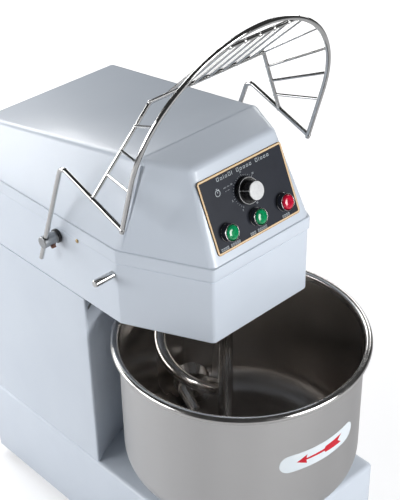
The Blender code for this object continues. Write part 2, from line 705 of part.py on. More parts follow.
def belt(name, near, near_radius, far, far_radius, thickness, low, high):
    """A belt or chain that wraps two pulleys."""
    outer = loop_outline(near, near_radius + thickness, far, far_radius + thickness)
    clear = 0.0009
    inner = loop_outline(near, near_radius + clear, far, far_radius + clear)
    return outline_ring(name, outer, inner, low, high)


# ---------------------------------------------------------------- spiral, breaker and drive
def hook_path():
    """Centre line of the hook: down from its shaft, round one turn, and in to its axis."""
    path = [(0.0, 0.0, HOOK_START), (0.0, 0.0, HOOK_START - 0.006)]
    for i in range(1, 9):
        share = i / 9
        radius = HOOK_RADIUS * (1 - math.cos(math.pi * share)) / 2
        angle = HOOK_TOP_ANGLE - 1.3 * (1 - share)
        height = HOOK_TOP + (HOOK_START - 0.008 - HOOK_TOP) * (1 - share ** 1.5)
        path.append((radius * math.cos(angle), radius * math.sin(angle), height))
    fall = HOOK_PITCH * HOOK_TURN / math.tau
    for i in range(43):
        share = i / 42
        level = max(0.0, share - HOOK_LEVELS) ** 2 / (1 - HOOK_LEVELS) / 2
        angle = HOOK_TOP_ANGLE + HOOK_TURN * share
        path.append((HOOK_RADIUS * math.cos(angle), HOOK_RADIUS * math.sin(angle),
                     HOOK_TOP - fall * (share - level)))
    last = Vector(path[-1])
    corner = last + 0.0245 * (last - Vector(path[-2])).normalized()
    path = path[:-1] + bent([last, corner, Vector(HOOK_TIP)], 0.0145)
    return [(x, HOOK_Y + y, z) for x, y, z in path]


def make_spiral():
    at = (0.0, HOOK_Y, 0.0)
    finish(wire("spiral_hook", hook_path(), HOOK_BAR, 3), "steel")
    shaft = [(0.0, SHAFT_TOP), (SPIRAL_SHAFT, SHAFT_TOP), (SPIRAL_SHAFT, CHAIN_HIGH),
             (PINION, CHAIN_HIGH), (PINION, CHAIN_LOW), (SPIRAL_SHAFT, CHAIN_LOW),
             (SPIRAL_SHAFT, 0.5295), (0.018, 0.5295), (0.018, 0.512), (0.030, 0.512),
             (0.030, 0.500), (0.0, 0.500)]
    finish(turned("spiral_shaft", shaft, at), "steel")
    bore = SPIRAL_SHAFT + GAP
    housing = [(0.038, 0.590), (0.038, 0.545), (0.055, 0.541), (0.055, ON_HEAD_FLOOR),
               (bore, ON_HEAD_FLOOR), (bore, 0.590)]
    finish(turned("spiral_bearing_housing", housing, at), "cast")
    finish(pulley("spiral_pulley", SPIRAL_PULLEY, bore, BELT_LOW, BELT_HIGH, at), "cast")

    at = (0.0, BREAKER_Y, 0.0)
    bar = [(0.0, 0.556), (0.010, 0.556), (0.010, UNDER_HEAD), (0.022, UNDER_HEAD),
           (0.022, 0.521), (BREAKER_RADIUS, 0.516), (BREAKER_RADIUS, 0.238), (0.009, 0.229),
           (0.0, 0.229)]
    finish(turned("breaker_bar", bar, at), "steel")
    finish(turned("breaker_nut", ring(0.0185, 0.0125, ON_HEAD_FLOOR, 0.547), at, steps=6), "zinc")


def make_drive():
    at = (0.0, MOTOR_Y, 0.0)
    bore = MOTOR_SHAFT + GAP
    top = BRACKET_LOW - GAP
    case = MOTOR_RADIUS
    motor = [(0.0, 0.280), (bore, 0.280), (bore, top), (case - 0.012, top), (case - 0.009, 0.490),
             (case, 0.484), (case, 0.290), (case - 0.006, 0.262), (0.0, 0.262)]
    finish(turned("main_motor", motor, at, steps=28), "motor")
    finish(turned("motor_shaft", rod(MOTOR_SHAFT, 0.285, SHAFT_TOP), at, steps=16), "steel")
    finish(turned("motor_pulley", ring(MOTOR_PULLEY, bore, BELT_LOW, BELT_HIGH), at), "cast")
    at = (0.0, COLUMN_SHAFT_Y, 0.0)
    bore = COLUMN_SHAFT + GAP
    shaft = [(0.0, 0.607), (COLUMN_SHAFT, 0.607), (COLUMN_SHAFT, BOWL_BELT_HIGH),
             (BOWL_PINION, BOWL_BELT_HIGH), (BOWL_PINION, BOWL_BELT_LOW),
             (COLUMN_SHAFT, BOWL_BELT_LOW), (COLUMN_SHAFT, 0.060), (0.0, 0.060)]
    finish(turned("column_shaft", shaft, at), "steel")
    finish(turned("column_sprocket", ring(SPROCKET, bore, CHAIN_LOW, CHAIN_HIGH), at, steps=28),
           "cast")
    upper = ring(0.030, bore, BRACKET_HIGH + GAP, UNDER_HEAD)
    finish(turned("upper_shaft_bearing", upper, at), "cast")
    lower = ring(0.030, bore, BASE_TOP + GAP, 0.200)
    finish(turned("lower_shaft_bearing", lower, at), "cast")

    finish(belt("drive_belt", HOOK_Y, SPIRAL_PULLEY, MOTOR_Y, MOTOR_PULLEY, 0.008,
                BELT_LOW + 0.004, BELT_HIGH - 0.004), "rubber")
    finish(belt("transfer_chain", -COLUMN_SHAFT_Y, SPROCKET, -HOOK_Y, PINION, 0.005,
                CHAIN_LOW + 0.001, CHAIN_HIGH - 0.001), "zinc")
    bpy.data.objects["transfer_chain"].rotation_euler = (0.0, 0.0, math.pi)
    bpy.data.objects["transfer_chain_inside"].rotation_euler = (0.0, 0.0, math.pi)
    finish(belt("bowl_belt", BOWL_Y, BOWL_PULLEY, COLUMN_SHAFT_Y, BOWL_PINION, 0.006,
                BOWL_BELT_LOW + 0.003, BOWL_BELT_HIGH - 0.003), "rubber")


# ---------------------------------------------------------------- the whole machine
PANEL = empty("panel_face", (0.0, HEAD_FRONT + HOOD_INSET, LIP), math.atan2(1.0, FRONT_LEAN))
make_base()
make_feet()
make_column()
make_head()
make_hood(PANEL)
make_panel(PANEL)
GUARD_PIVOT = make_guard()
make_guard_mounts(GUARD_PIVOT)
make_bowl()
make_spiral()
make_drive()
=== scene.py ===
"""The looks of a spiral dough mixer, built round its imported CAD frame.

Metres, +Z up, the front of the machine faces -Y.  Each section makes one group of pieces, with the
fine edges, printing, welds and materials that the working model leaves out.
"""
import math

import bmesh
import bpy
from mathutils import Matrix, Vector


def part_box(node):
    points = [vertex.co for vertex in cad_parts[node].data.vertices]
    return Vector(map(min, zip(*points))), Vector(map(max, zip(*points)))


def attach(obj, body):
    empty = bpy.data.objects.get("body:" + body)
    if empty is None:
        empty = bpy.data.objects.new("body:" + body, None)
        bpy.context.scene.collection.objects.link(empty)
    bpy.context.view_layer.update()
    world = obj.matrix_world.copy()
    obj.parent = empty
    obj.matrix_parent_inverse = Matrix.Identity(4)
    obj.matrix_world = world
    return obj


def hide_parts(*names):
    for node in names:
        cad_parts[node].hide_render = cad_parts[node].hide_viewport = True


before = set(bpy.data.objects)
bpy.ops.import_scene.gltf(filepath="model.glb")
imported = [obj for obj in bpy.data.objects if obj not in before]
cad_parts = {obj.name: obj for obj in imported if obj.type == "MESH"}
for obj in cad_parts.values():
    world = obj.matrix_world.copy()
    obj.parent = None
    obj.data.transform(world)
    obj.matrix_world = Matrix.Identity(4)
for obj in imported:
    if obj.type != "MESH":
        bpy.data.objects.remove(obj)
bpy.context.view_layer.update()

# ---------------------------------------------------------------- sizes, read from the frame
BASE_LOW, BASE_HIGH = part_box("base_frame")
COLUMN_LOW, COLUMN_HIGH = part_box("column_shell")
HEAD_LOW, HEAD_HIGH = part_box("head_housing")
HOOD_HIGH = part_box("head_cover")[1]
BOWL_LOW, BOWL_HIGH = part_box("bowl")
BREAKER_LOW, BREAKER_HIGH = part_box("breaker_bar")
SHAFT_LOW, SHAFT_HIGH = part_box("spiral_shaft")
COVER_LOW, COVER_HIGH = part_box("rear_cover")
PEG_LOW, PEG_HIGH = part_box("guard_peg_right")
HUB_LOW, HUB_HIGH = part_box("guard_hub_right")
SCREW_LOW, SCREW_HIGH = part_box("cover_screw_right")
WASHER_LOW, WASHER_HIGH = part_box("guard_washer_right")
WASHER_RADIUS = (WASHER_HIGH.z - WASHER_LOW.z) / 2
GLAND_LOW, GLAND_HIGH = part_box("cable_gland")


def middle(low, high):
    return (low + high) / 2


BOWL_AXIS = middle(BOWL_LOW, BOWL_HIGH).xy
SHAFT_AXIS = middle(SHAFT_LOW, SHAFT_HIGH).xy
BREAKER_AXIS = middle(BREAKER_LOW, BREAKER_HIGH).xy

# ---------------------------------------------------------------- sizes, as in the design
SMOOTH_BELOW = 32.0               # degrees between faces that are shaded as one surface
SHEET = 0.0025                    # painted steel sheet
HOUSING_HOLE = 0.0405             # radius, in the base's top round the bowl's bearing housing
COLUMN_HOLLOW = 0.080             # y of the middle of the column's curved front
BAND_BOTTOM = 0.644
BAND_PROUD = 0.0023
HOOD_INSET = 0.0025
HEAD_SIDE_FRONT = -0.053          # where the side walls turn into the angled walls
HEAD_FRONT_HALF = 0.1025
SIDE_LEAN = 0.360                 # inward run of the hood's faces for each unit of height
ANGLE_LEAN = 0.295
FRONT_LEAN = 0.436
REAR_LEAN = 0.38
ROOF_BREAK = -0.062
ROOF_FALL = 0.162
LIP = HEAD_HIGH.z

BOWL_RADIUS = 0.1955
BOWL_SHEET = 0.002
BOWL_CORNER = 0.052
BEAD_RADIUS = 0.0063

HOOK_BAR = 0.010
HOOK_RADIUS = 0.052
HOOK_PITCH = 0.2344
HOOK_START = 0.4997               # height of its joint with the shaft
HOOK_TOP = 0.470
HOOK_TOP_ANGLE = 0.56
HOOK_TURN = math.radians(376.0)
HOOK_LEVELS = 0.72                # share of the turn after which the bar levels out
HOOK_TIP = (0.0044, -0.0035, 0.232)

PIVOT = Vector((0.0, 0.089, 0.627))
RAISE = math.radians(69.3)
GUARD_X = 0.1925
ARM = 0.170
DROP = 0.141
INNER_DROP = 0.0735
GUARD_TILT = 0.075
HOOP_RADIUS = 0.1925
HOOP_CENTRE = 0.259
INNER_FRONT = 0.313
INNER_HALF = 0.112
CHORD = 0.436
WIRE = 0.0038                     # 0.0002 under the working model's, to stay inside its box
INNER_WIRE = 0.003
CROSS_WIRE = 0.0022
HUB_RADIUS = 0.0098
PIN_BORE = 0.0063                 # radius, in the hubs and washers
ARM_BORE = 0.0047                 # radius, in the hubs
BOLT_X = 0.1816
BOLT_LEAN = math.radians(28.0)    # of the clamp bolts, from straight down towards the front

KNOB_U, KNOB_V = -0.004, 0.083
KNOB_TOP = 0.027
BUTTON_V = 0.040
BUTTONS = {"high_speed": -0.058, "low_speed": 0.001, "stop": 0.058}
PLATE_HALF = 0.086
PLATE_LOW, PLATE_HIGH = 0.013, 0.126
PLATE_FACE = 0.0018               # front of the plate above the hood's face

PANEL_PLACE = (Matrix.Translation((0.0, HEAD_LOW.y + HOOD_INSET, LIP))
               @ Matrix.Rotation(math.atan2(1.0, FRONT_LEAN), 4, 'X'))
GUARD_PLACE = Matrix.Translation(PIVOT) @ Matrix.Rotation(-RAISE, 4, 'X')
ALONG_X = Matrix.Rotation(math.radians(90.0), 4, 'Y')
ALONG_Y = Matrix.Rotation(math.radians(-90.0), 4, 'X')


# ---------------------------------------------------------------- materials
def new_material(name, colour, roughness, metallic=0.0, **constants):
    """A Principled material; constants are further sockets, such as Coat_Weight=0.3."""
    material = bpy.data.materials.new(name)
    material.use_nodes = True
    material.diffuse_color = (*colour, 1.0)
    shader = material.node_tree.nodes["Principled BSDF"]
    shader.inputs["Base Color"].default_value = (*colour, 1.0)
    shader.inputs["Roughness"].default_value = roughness
    shader.inputs["Metallic"].default_value = metallic
    for socket, value in constants.items():
        shader.inputs[socket.replace("_", " ")].default_value = value
    return material


def node(material, kind, **settings):
    """Add a node and set its properties."""
    made = material.node_tree.nodes.new("ShaderNode" + kind)
    for name, value in settings.items():
        setattr(made, name, value)
    return made


def noise(material, scale, stretch=(1.0, 1.0, 1.0), detail=3.0, turn=(0.0, 0.0, 0.0)):
    """A noise value fixed to the piece: scale is in waves a metre, stretch is along its axes."""
    link = material.node_tree.links.new
    place = node(material, "TexCoord")
    mapping = node(material, "Mapping")
    mapping.inputs["Scale"].default_value = stretch
    mapping.inputs["Rotation"].default_value = turn
    texture = node(material, "TexNoise")
    texture.inputs["Scale"].default_value = scale
    texture.inputs["Detail"].default_value = detail
    link(place.outputs["Object"], mapping.inputs["Vector"])
    link(mapping.outputs["Vector"], texture.inputs["Vector"])
    return texture.outputs["Fac"]


def ranged(material, value, low, high, start=0.3, end=0.7):
    """Map the middle of a noise value to a range."""
    spread = node(material, "MapRange")
    spread.inputs["From Min"].default_value = start
    spread.inputs["From Max"].default_value = end
    spread.inputs["To Min"].default_value = low
    spread.inputs["To Max"].default_value = high
    material.node_tree.links.new(value, spread.inputs["Value"])
    return spread.outputs["Result"]


def vary_colour(material, value, other, share=1.0):
    """Blend the material's colour towards another by a noise value."""
    shader = material.node_tree.nodes["Principled BSDF"]
    own = tuple(shader.inputs["Base Color"].default_value)
    mix = node(material, "Mix", data_type='RGBA')
    first, second = [socket for socket in mix.inputs if socket.type == 'RGBA']
    first.default_value = own
    second.default_value = (*other, 1.0)
    factor = [socket for socket in mix.inputs if socket.type == 'VALUE' and socket.enabled][0]
    result = [socket for socket in mix.outputs if socket.type == 'RGBA'][0]
    material.node_tree.links.new(ranged(material, value, 0.0, share), factor)
    material.node_tree.links.new(result, shader.inputs["Base Color"])


def vary_roughness(material, value, low, high):
    shader = material.node_tree.nodes["Principled BSDF"]
    material.node_tree.links.new(ranged(material, value, low, high), shader.inputs["Roughness"])


def add_bump(material, value, height, strength=1.0):
    """Relief of a height in metres."""
    shader = material.node_tree.nodes["Principled BSDF"]
    bump = node(material, "Bump")
    bump.inputs["Strength"].default_value = strength
    bump.inputs["Distance"].default_value = height
    material.node_tree.links.new(value, bump.inputs["Height"])
    material.node_tree.links.new(bump.outputs["Normal"], shader.inputs["Normal"])


def radial_tangent(material):
    """Brushing that runs round the piece's upright axis."""
    shader = material.node_tree.nodes["Principled BSDF"]
    tangent = node(material, "Tangent", direction_type='RADIAL', axis='Z')
    material.node_tree.links.new(tangent.outputs["Tangent"], shader.inputs["Tangent"])


def surface(name, colour, other, roughness, metallic=0.0, patches=90.0, share=1.0, gloss=None,
            relief=None, **constants):
    """A material whose colour drifts towards another in patches, so many waves a metre.

    gloss = (waves, lowest, highest roughness), and relief = (waves, height, strength, detail).
    """
    material = new_material(name, colour, roughness, metallic, **constants)
    vary_colour(material, noise(material, patches), other, share)
    if gloss:
        waves, low, high = gloss
        vary_roughness(material, noise(material, waves), low, high)
    if relief:
        waves, height, strength, detail = relief
        add_bump(material, noise(material, waves, detail=detail), height, strength)
    return material


def polished_steel():
    """The hook and the breaker bar: ground and polished, with fine scratches."""
    material = new_material("polished_steel", (0.72, 0.70, 0.68), 0.14, 1.0)
    vary_colour(material, noise(material, 40.0), (0.56, 0.545, 0.53), 0.7)
    vary_roughness(material, noise(material, 900.0, (1.0, 1.0, 0.05)), 0.10, 0.22)
    add_bump(material, noise(material, 1400.0, (1.0, 1.0, 0.04)), 0.00001, 0.4)
    return material


def bowl_outside():
    """Satin stainless steel, brushed round the bowl, its colour darker in soft upright bands: painted
    reflections.
    """
    material = new_material("bowl_outside", (0.69, 0.685, 0.68), 0.36, 1.0, Anisotropic=0.85)
    # Colour drifts darker in tall soft bands: painted reflections.
    vary_colour(material, noise(material, 7.0, (1.0, 1.0, 0.06), detail=1.0), (0.54, 0.535, 0.535))
    vary_roughness(material, noise(material, 700.0, (0.03, 0.03, 1.0)), 0.33, 0.40)
    radial_tangent(material)
    return material


def bowl_inside():
    """Spun stainless steel, with rings left by the spinning: darker and browner than the outside,
    painted shade, with soft upright bands, painted reflections.
    """
    # A darker, browner copy of the bowl's steel: painted shade inside the bowl.
    material = new_material("bowl_inside", (0.62, 0.59, 0.565), 0.28, 1.0, Anisotropic=0.6)
    # Colour drifts darker in soft upright bands: painted reflections.
    vary_colour(material, noise(material, 6.0, (1.0, 1.0, 0.12)), (0.46, 0.43, 0.405))
    vary_roughness(material, noise(material, 6.0, (1.0, 1.0, 0.12)), 0.24, 0.34)
    radial_tangent(material)
    return material


def moulded(name, colour, other, roughness):
    """Moulded plastic with a fine spark-eroded grain."""
    return surface(name, colour, other, roughness, 0.0, 120.0,
                   gloss=(400.0, roughness - 0.06, roughness + 0.08),
                   relief=(2600.0, 0.00002, 0.5, 1.0))


def lens(name, colour, other):
    """A translucent push-button cap: its colour deepens towards the edges of small cells, painted
    shading of its moulded facets, and it glows faintly in its own colour, painted light.
    """
    material = new_material(name, colour, 0.16, Coat_Weight=0.6, Coat_Roughness=0.05)
    cells = node(material, "TexVoronoi")
    cells.inputs["Scale"].default_value = 420.0
    place = node(material, "TexCoord")
    material.node_tree.links.new(place.outputs["Object"], cells.inputs["Vector"])
    # Darker towards the edges of small cells: painted shading of the moulded facets.
    vary_colour(material, cells.outputs["Distance"], other)
    shader = material.node_tree.nodes["Principled BSDF"]
    # A faint glow in the cap's own colour: painted light, as if lit through the translucent plastic.
    shader.inputs["Emission Color"].default_value = (*colour, 1.0)
    shader.inputs["Emission Strength"].default_value = 0.12
    return material


def printed(name, colour, other):
    """Screen-printed film with a faint texture."""
    return surface(name, colour, other, 0.45, 0.0, 35.0, relief=(1800.0, 0.00001, 0.4, 1.0),
                   Specular_IOR_Level=0.25)


def plated(name, colour, other, roughness):
    """Zinc, brass or bare machined metal."""
    return surface(name, colour, other, roughness, 1.0,
                   gloss=(300.0, roughness - 0.08, roughness + 0.10))


ENAMEL = surface("enamel", (0.695, 0.762, 0.85), (0.665, 0.732, 0.825), 0.32, 0.0, 9.0,
                 Coat_Weight=0.25, Coat_Roughness=0.12)
CHROME = surface("chrome_plate", (0.62, 0.62, 0.615), (0.50, 0.50, 0.495), 0.07, 1.0, 60.0, 0.6,
                 (240.0, 0.05, 0.13))
# A darker copy of the chrome for the button rings: painted reflection of the dark plate round them.
DARK_CHROME = plated("button_chrome", (0.42, 0.42, 0.42), (0.32, 0.32, 0.32), 0.14)
POLISHED = polished_steel()
OUTSIDE = bowl_outside()
INSIDE = bowl_inside()
BEAD = surface("bowl_bead", (0.66, 0.65, 0.64), (0.56, 0.55, 0.54), 0.20, 1.0, 18.0, 0.8,
               (60.0, 0.15, 0.26))
BLACK = moulded("black_plastic", (0.012, 0.012, 0.013), (0.022, 0.022, 0.024), 0.30)
# Painted shade: a near-black sheet that closes each louvre's opening in place of the shade inside it.
SHADOW = moulded("painted_slot_shade", (0.006, 0.006, 0.007), (0.012, 0.012, 0.013), 0.80)
SILVER = moulded("silver_plastic", (0.80, 0.81, 0.82), (0.70, 0.71, 0.73), 0.30)
GREEN = lens("green_lens", (0.0, 0.30, 0.105), (0.0, 0.17, 0.06))
RED = lens("red_lens", (0.62, 0.008, 0.045), (0.38, 0.004, 0.025))
SLATE = printed("slate_film", (0.018, 0.022, 0.034), (0.014, 0.017, 0.027))
GOLD = printed("gold_ink", (0.80, 0.50, 0.20), (0.72, 0.44, 0.17))
CREAM = printed("cream_ink", (0.86, 0.78, 0.64), (0.80, 0.72, 0.58))
PALE = printed("pale_ink", (0.55, 0.60, 0.64), (0.48, 0.53, 0.57))
WHITE = printed("white_film", (0.80, 0.86, 0.90), (0.75, 0.82, 0.87))
ARROW_RED = printed("red_ink", (0.62, 0.012, 0.03), (0.56, 0.010, 0.025))
ZINC = plated("zinc_plate", (0.40, 0.41, 0.42), (0.30, 0.31, 0.32), 0.36)
BRASS = plated("yellow_zinc", (0.60, 0.46, 0.26), (0.46, 0.34, 0.18), 0.34)
COPPER = plated("coppered_bolt", (0.30, 0.17, 0.13), (0.20, 0.11, 0.09), 0.38)
STEEL = plated("machined_steel", (0.55, 0.55, 0.54), (0.46, 0.46, 0.45), 0.28)
CAST = surface("cast_iron", (0.12, 0.125, 0.13), (0.07, 0.07, 0.075), 0.55, 0.6, 70.0,
               relief=(900.0, 0.0001, 0.6, 3.0))
RUBBER = surface("black_rubber", (0.02, 0.02, 0.02), (0.035, 0.035, 0.035), 0.75, 0.0, 200.0,
                 relief=(1500.0, 0.00004, 0.6, 3.0))
MOTOR = surface("motor_enamel", (0.06, 0.15, 0.27), (0.05, 0.12, 0.22), 0.42, 0.0, 25.0,
                relief=(500.0, 0.00005, 0.5, 3.0))


# ---------------------------------------------------------------- mesh helpers
def piece(name, shape, material, body, replaced=(), place=None, sharp=SMOOTH_BELOW):
    """Turn a bmesh into a piece that rides on a body; the bmesh is used up."""
    mesh = bpy.data.meshes.new(name)
    bmesh.ops.recalc_face_normals(shape, faces=shape.faces)
    if place is not None:
        shape.transform(place)
    shape.to_mesh(mesh)
    shape.free()
    mesh.shade_smooth()
    mesh.set_sharp_from_angle(angle=math.radians(sharp))
    obj = bpy.data.objects.new(name, mesh)
    bpy.context.scene.collection.objects.link(obj)
    materials = material if isinstance(material, (list, tuple)) else [material]
    for each in materials:
        mesh.materials.append(each)
    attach(obj, body)
    if replaced:
        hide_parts(*replaced)
    return obj


def rounded(outline, radius, count=4, closed=True, only=None):
    """Round the corners of a flat outline with arcs no larger than its edges allow."""
    points = [Vector(point) for point in outline]
    size = len(points)
    result = []
    for i, corner in enumerate(points):
        end = not closed and i in (0, size - 1)
        if end or (only is not None and i not in only):
            result.append(corner)
            continue
        back = points[i - 1] - corner
        ahead = points[(i + 1) % size] - corner
        room = 0.45 * min(back.length, ahead.length)
        back.normalize()
        ahead.normalize()
        half = back.angle(ahead) / 2
        if half > math.radians(88.0):
            result.append(corner)
            continue
        bend = min(radius, room * math.tan(half))
        centre = corner + (back + ahead).normalized() * bend / math.sin(half)
        start = corner + back * bend / math.tan(half) - centre
        sign = 1.0 if back.cross(ahead) < 0 else -1.0
        for k in range(count + 1):
            turn = sign * (math.pi - 2 * half) * k / count
            result.append(centre + Matrix.Rotation(turn, 2) @ start)
    return result


def offset(corners, inset):
    """Move every edge of a counter-clockwise outline inward."""
    corners = [Vector(corner) for corner in corners]
    result = []
    for i, corner in enumerate(corners):
        before = (corner - corners[i - 1]).normalized()
        after = (corners[(i + 1) % len(corners)] - corner).normalized()
        inward = Vector((-before.y, before.x)) + Vector((-after.y, after.x))
        result.append(corner + inward * (inset / (1.0 + before.dot(after))))
    return result


def chain(shape, rings, cap_first=False, cap_last=False, closed=False):
    """Join rings of points, of equal count, with quads."""
    made = [[shape.verts.new(point) for point in ring] for ring in rings]
    pairs = list(zip(made, made[1:]))
    if closed:
        pairs.append((made[-1], made[0]))
    for low, high in pairs:
        for i in range(len(low)):
            j = (i + 1) % len(low)
            shape.faces.new((low[i], low[j], high[j], high[i]))
    if cap_first:
        shape.faces.new(made[0])
    if cap_last:
        shape.faces.new(made[-1])
    return shape


def level(points, height):
    return [(point.x, point.y, height) for point in points]


def turned(points, steps, flutes=None, closed=False, slots=None):
    """Turn points of (radius, height) about Z; slots holds the material of each stretch."""
    shape = bmesh.new()
    rings = []
    for radius, height in points:
        if radius < 1e-7:
            rings.append([shape.verts.new((0.0, 0.0, height))])
            continue
        ring = []
        for i in range(steps):
            angle = math.tau * i / steps
            reach = radius
            if flutes and flutes[2] <= height <= flutes[3]:
                reach -= flutes[1] * (0.5 - 0.5 * math.cos(angle * flutes[0]))
            ring.append(shape.verts.new((reach * math.cos(angle), reach * math.sin(angle), height)))
        rings.append(ring)
    pairs = list(zip(rings, rings[1:]))
    if closed:
        pairs.append((rings[-1], rings[0]))
    for index, (one, two) in enumerate(pairs):
        for i in range(steps):
            j = (i + 1) % steps
            corners = [one[i % len(one)], one[j % len(one)], two[j % len(two)], two[i % len(two)]]
            face = shape.faces.new(list(dict.fromkeys(corners)))
            face.material_index = slots[index] if slots else 0
    return shape


def lathe(profile, steps=48, radius=0.0006, flutes=None, arcs=3):
    """Turn an open profile of (radius, height), softened at its corners, about Z.

    A profile that starts and ends on the axis makes a solid, and any other makes a ring.
    flutes = (count, depth, lowest, highest) ripples the outside between two heights.
    """
    solid = profile[0][0] == 0.0
    return turned(rounded(profile, radius, arcs, closed=not solid), steps, flutes, not solid)


def tube(points, radius, sides=16):
    """A round bar along a path, with slightly rounded ends."""
    points = [Vector(point) for point in points]
    shape = bmesh.new()
    ahead = (points[1] - points[0]).normalized()
    side = ahead.orthogonal().normalized()
    rings = []
    last = len(points) - 1
    for i, point in enumerate(points):
        before = (point - points[i - 1]).normalized() if i else ahead
        after = (points[i + 1] - point).normalized() if i < last else before
        along = (before + after).normalized()
        side = (side - along * side.dot(along)).normalized()
        other = along.cross(side)
        widen = 1.0 / max(0.3, before.dot(along))
        stations = [(0.0, 1.0)]
        if i == 0:
            stations = [(0.0, 0.75), (0.25 * radius, 1.0)]
        if i == last:
            stations = [(-0.25 * radius, 1.0), (0.0, 0.75)]
        for shift, share in stations:
            ring = []
            for k in range(sides):
                angle = math.tau * k / sides
                spoke = side * math.cos(angle) + other * math.sin(angle)
                ring.append(point + along * shift + spoke * radius * share * widen)
            rings.append(ring)
    return chain(shape, rings, cap_first=True, cap_last=True)


def bent(points, radius, count=8):
    """Round the corners of a path in space."""
    points = [Vector(point) for point in points]
    result = [points[0]]
    for before, corner, after in zip(points, points[1:], points[2:]):
        back = (before - corner).normalized()
        ahead = (after - corner).normalized()
        half = back.angle(ahead) / 2
        centre = corner + (back + ahead).normalized() * radius / math.sin(half)
        start = corner + back * radius / math.tan(half) - centre
        axis = back.cross(ahead)
        for k in range(count + 1):
            turn = (2 * half - math.pi) * k / count
            result.append(centre + Matrix.Rotation(turn, 3, axis) @ start)
    return result + [points[-1]]


def merged(shapes):
    """One bmesh that holds several; the others are used up."""
    whole = bmesh.new()
    mesh = bpy.data.meshes.new("scratch")
    for shape in shapes:
        shape.to_mesh(mesh)
        shape.free()
        whole.from_mesh(mesh)
    bpy.data.meshes.remove(mesh)
    return whole


def moved(shape, place):
    bmesh.ops.transform(shape, matrix=place, verts=shape.verts)
    return shape


def block(low, high):
    """A box between two corners."""
    low, high = Vector(low), Vector(high)
    shape = bmesh.new()
    scale = Matrix.Diagonal((*(high - low), 1.0))
    bmesh.ops.create_cube(shape, size=1.0, matrix=Matrix.Translation((low + high) / 2) @ scale)
    return shape


def slab(outline, low, high):
    """A flat outline stood up between two heights."""
    return chain(bmesh.new(), [level(outline, low), level(outline, high)], True, True)


def disc(radius, low, high, steps, x=0.0, y=0.0):
    """An upright round slab, used as a cutter."""
    angles = [math.tau * i / steps for i in range(steps)]
    return slab([Vector((x + radius * math.cos(a), y + radius * math.sin(a))) for a in angles],
                low, high)


def cut(obj, tools):
    """Take bmesh tools away from a piece."""
    mesh = bpy.data.meshes.new("tool")
    shape = merged(tools)
    bmesh.ops.recalc_face_normals(shape, faces=shape.faces)
    shape.to_mesh(mesh)
    shape.free()
    tool = bpy.data.objects.new("tool", mesh)
    bpy.context.scene.collection.objects.link(tool)
    modifier = obj.modifiers.new("cut", 'BOOLEAN')
    modifier.operation = 'DIFFERENCE'
    modifier.solver = 'EXACT'
    modifier.object = tool
    bpy.context.view_layer.update()
    evaluated = obj.evaluated_get(bpy.context.evaluated_depsgraph_get())
    result = bpy.data.meshes.new_from_object(evaluated)
    obj.modifiers.remove(modifier)
    old = obj.data
    obj.data = result
    result.name = old.name
    bpy.data.meshes.remove(old)
    bpy.data.objects.remove(tool)
    result.shade_smooth()
    result.set_sharp_from_angle(angle=math.radians(SMOOTH_BELOW))


def finish_node(name, material):
    """Give a CAD node that stays in view its fine material."""
    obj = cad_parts[name]
    obj.data.materials.clear()
    obj.data.materials.append(material)


# ---------------------------------------------------------------- base, column and feet
def make_base():
    corners = [(BASE_LOW.x, BASE_LOW.y), (BASE_HIGH.x, BASE_LOW.y),
               (BASE_HIGH.x, BASE_HIGH.y), (BASE_LOW.x, BASE_HIGH.y)]
    edge, wall, flange, low, top = 0.008, 0.005, 0.065, BASE_LOW.z, BASE_HIGH.z
    sections = []
    for k in range(7):
        turn = math.radians(90.0 - 15.0 * k)
        sections.append((edge - edge * math.cos(turn), top - edge + edge * math.sin(turn)))
    for k in range(4):
        turn = math.radians(30.0 * k)
        sections.append((0.003 - 0.003 * math.cos(turn), low + 0.003 - 0.003 * math.sin(turn)))
    sections += [(flange, low), (flange, low + 0.003), (wall, low + 0.003), (wall, top - 0.003)]
    rings = [level(rounded(offset(corners, inset), edge, 6), height) for inset, height in sections]
    shape = chain(bmesh.new(), rings, cap_first=True, cap_last=True)
    base = piece("base_shell", shape, ENAMEL, "frame", ["base_frame"])
    cut(base, [disc(HOUSING_HOLE, top - 0.02, top + 0.02, 48, y=BOWL_AXIS.y)])


def make_feet():
    profile = [(0.0, 0.0147), (0.022, 0.0147), (0.022, 0.0040), (0.020, 0.0), (0.009, 0.0),
               (0.009, 0.002), (0.0, 0.002)]
    for side in ("left", "right"):
        for end in ("front", "rear"):
            name = f"foot_{end}_{side}"
            low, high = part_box(name)
            place = Matrix.Translation((*middle(low, high).xy, 0.0))
            piece("rubber_" + name, lathe(profile, 40, 0.0012), RUBBER, "frame", [name],
                  place)


def column_corners():
    """The column from above, counter-clockwise: an arc-shaped front and a square rear."""
    side = COLUMN_HIGH.x
    sag = COLUMN_HOLLOW - COLUMN_LOW.y
    curve = (side ** 2 + sag ** 2) / (2 * sag)
    spread = math.asin(side / curve)
    count = 32
    front = []
    for i in range(count + 1):
        angle = spread - 2 * spread * i / count
        front.append((-curve * math.sin(angle), COLUMN_HOLLOW - curve + curve * math.cos(angle)))
    return front + [(side, COLUMN_HIGH.y), (-side, COLUMN_HIGH.y)], (0, count)


def make_column():
    corners, ends = column_corners()
    low, high = COLUMN_LOW.z, COLUMN_HIGH.z
    sections = [(SHEET, low), (0.0008, low), (0.0, low + 0.0012), (0.0, high - 0.0006),
                (0.0004, high), (SHEET, high)]
    rings = [level(rounded(offset(corners, inset), 0.006, 6, only=ends), height)
             for inset, height in sections]
    shape = chain(bmesh.new(), rings, closed=True)
    piece("column_casing", shape, ENAMEL, "frame", ["column_shell"])


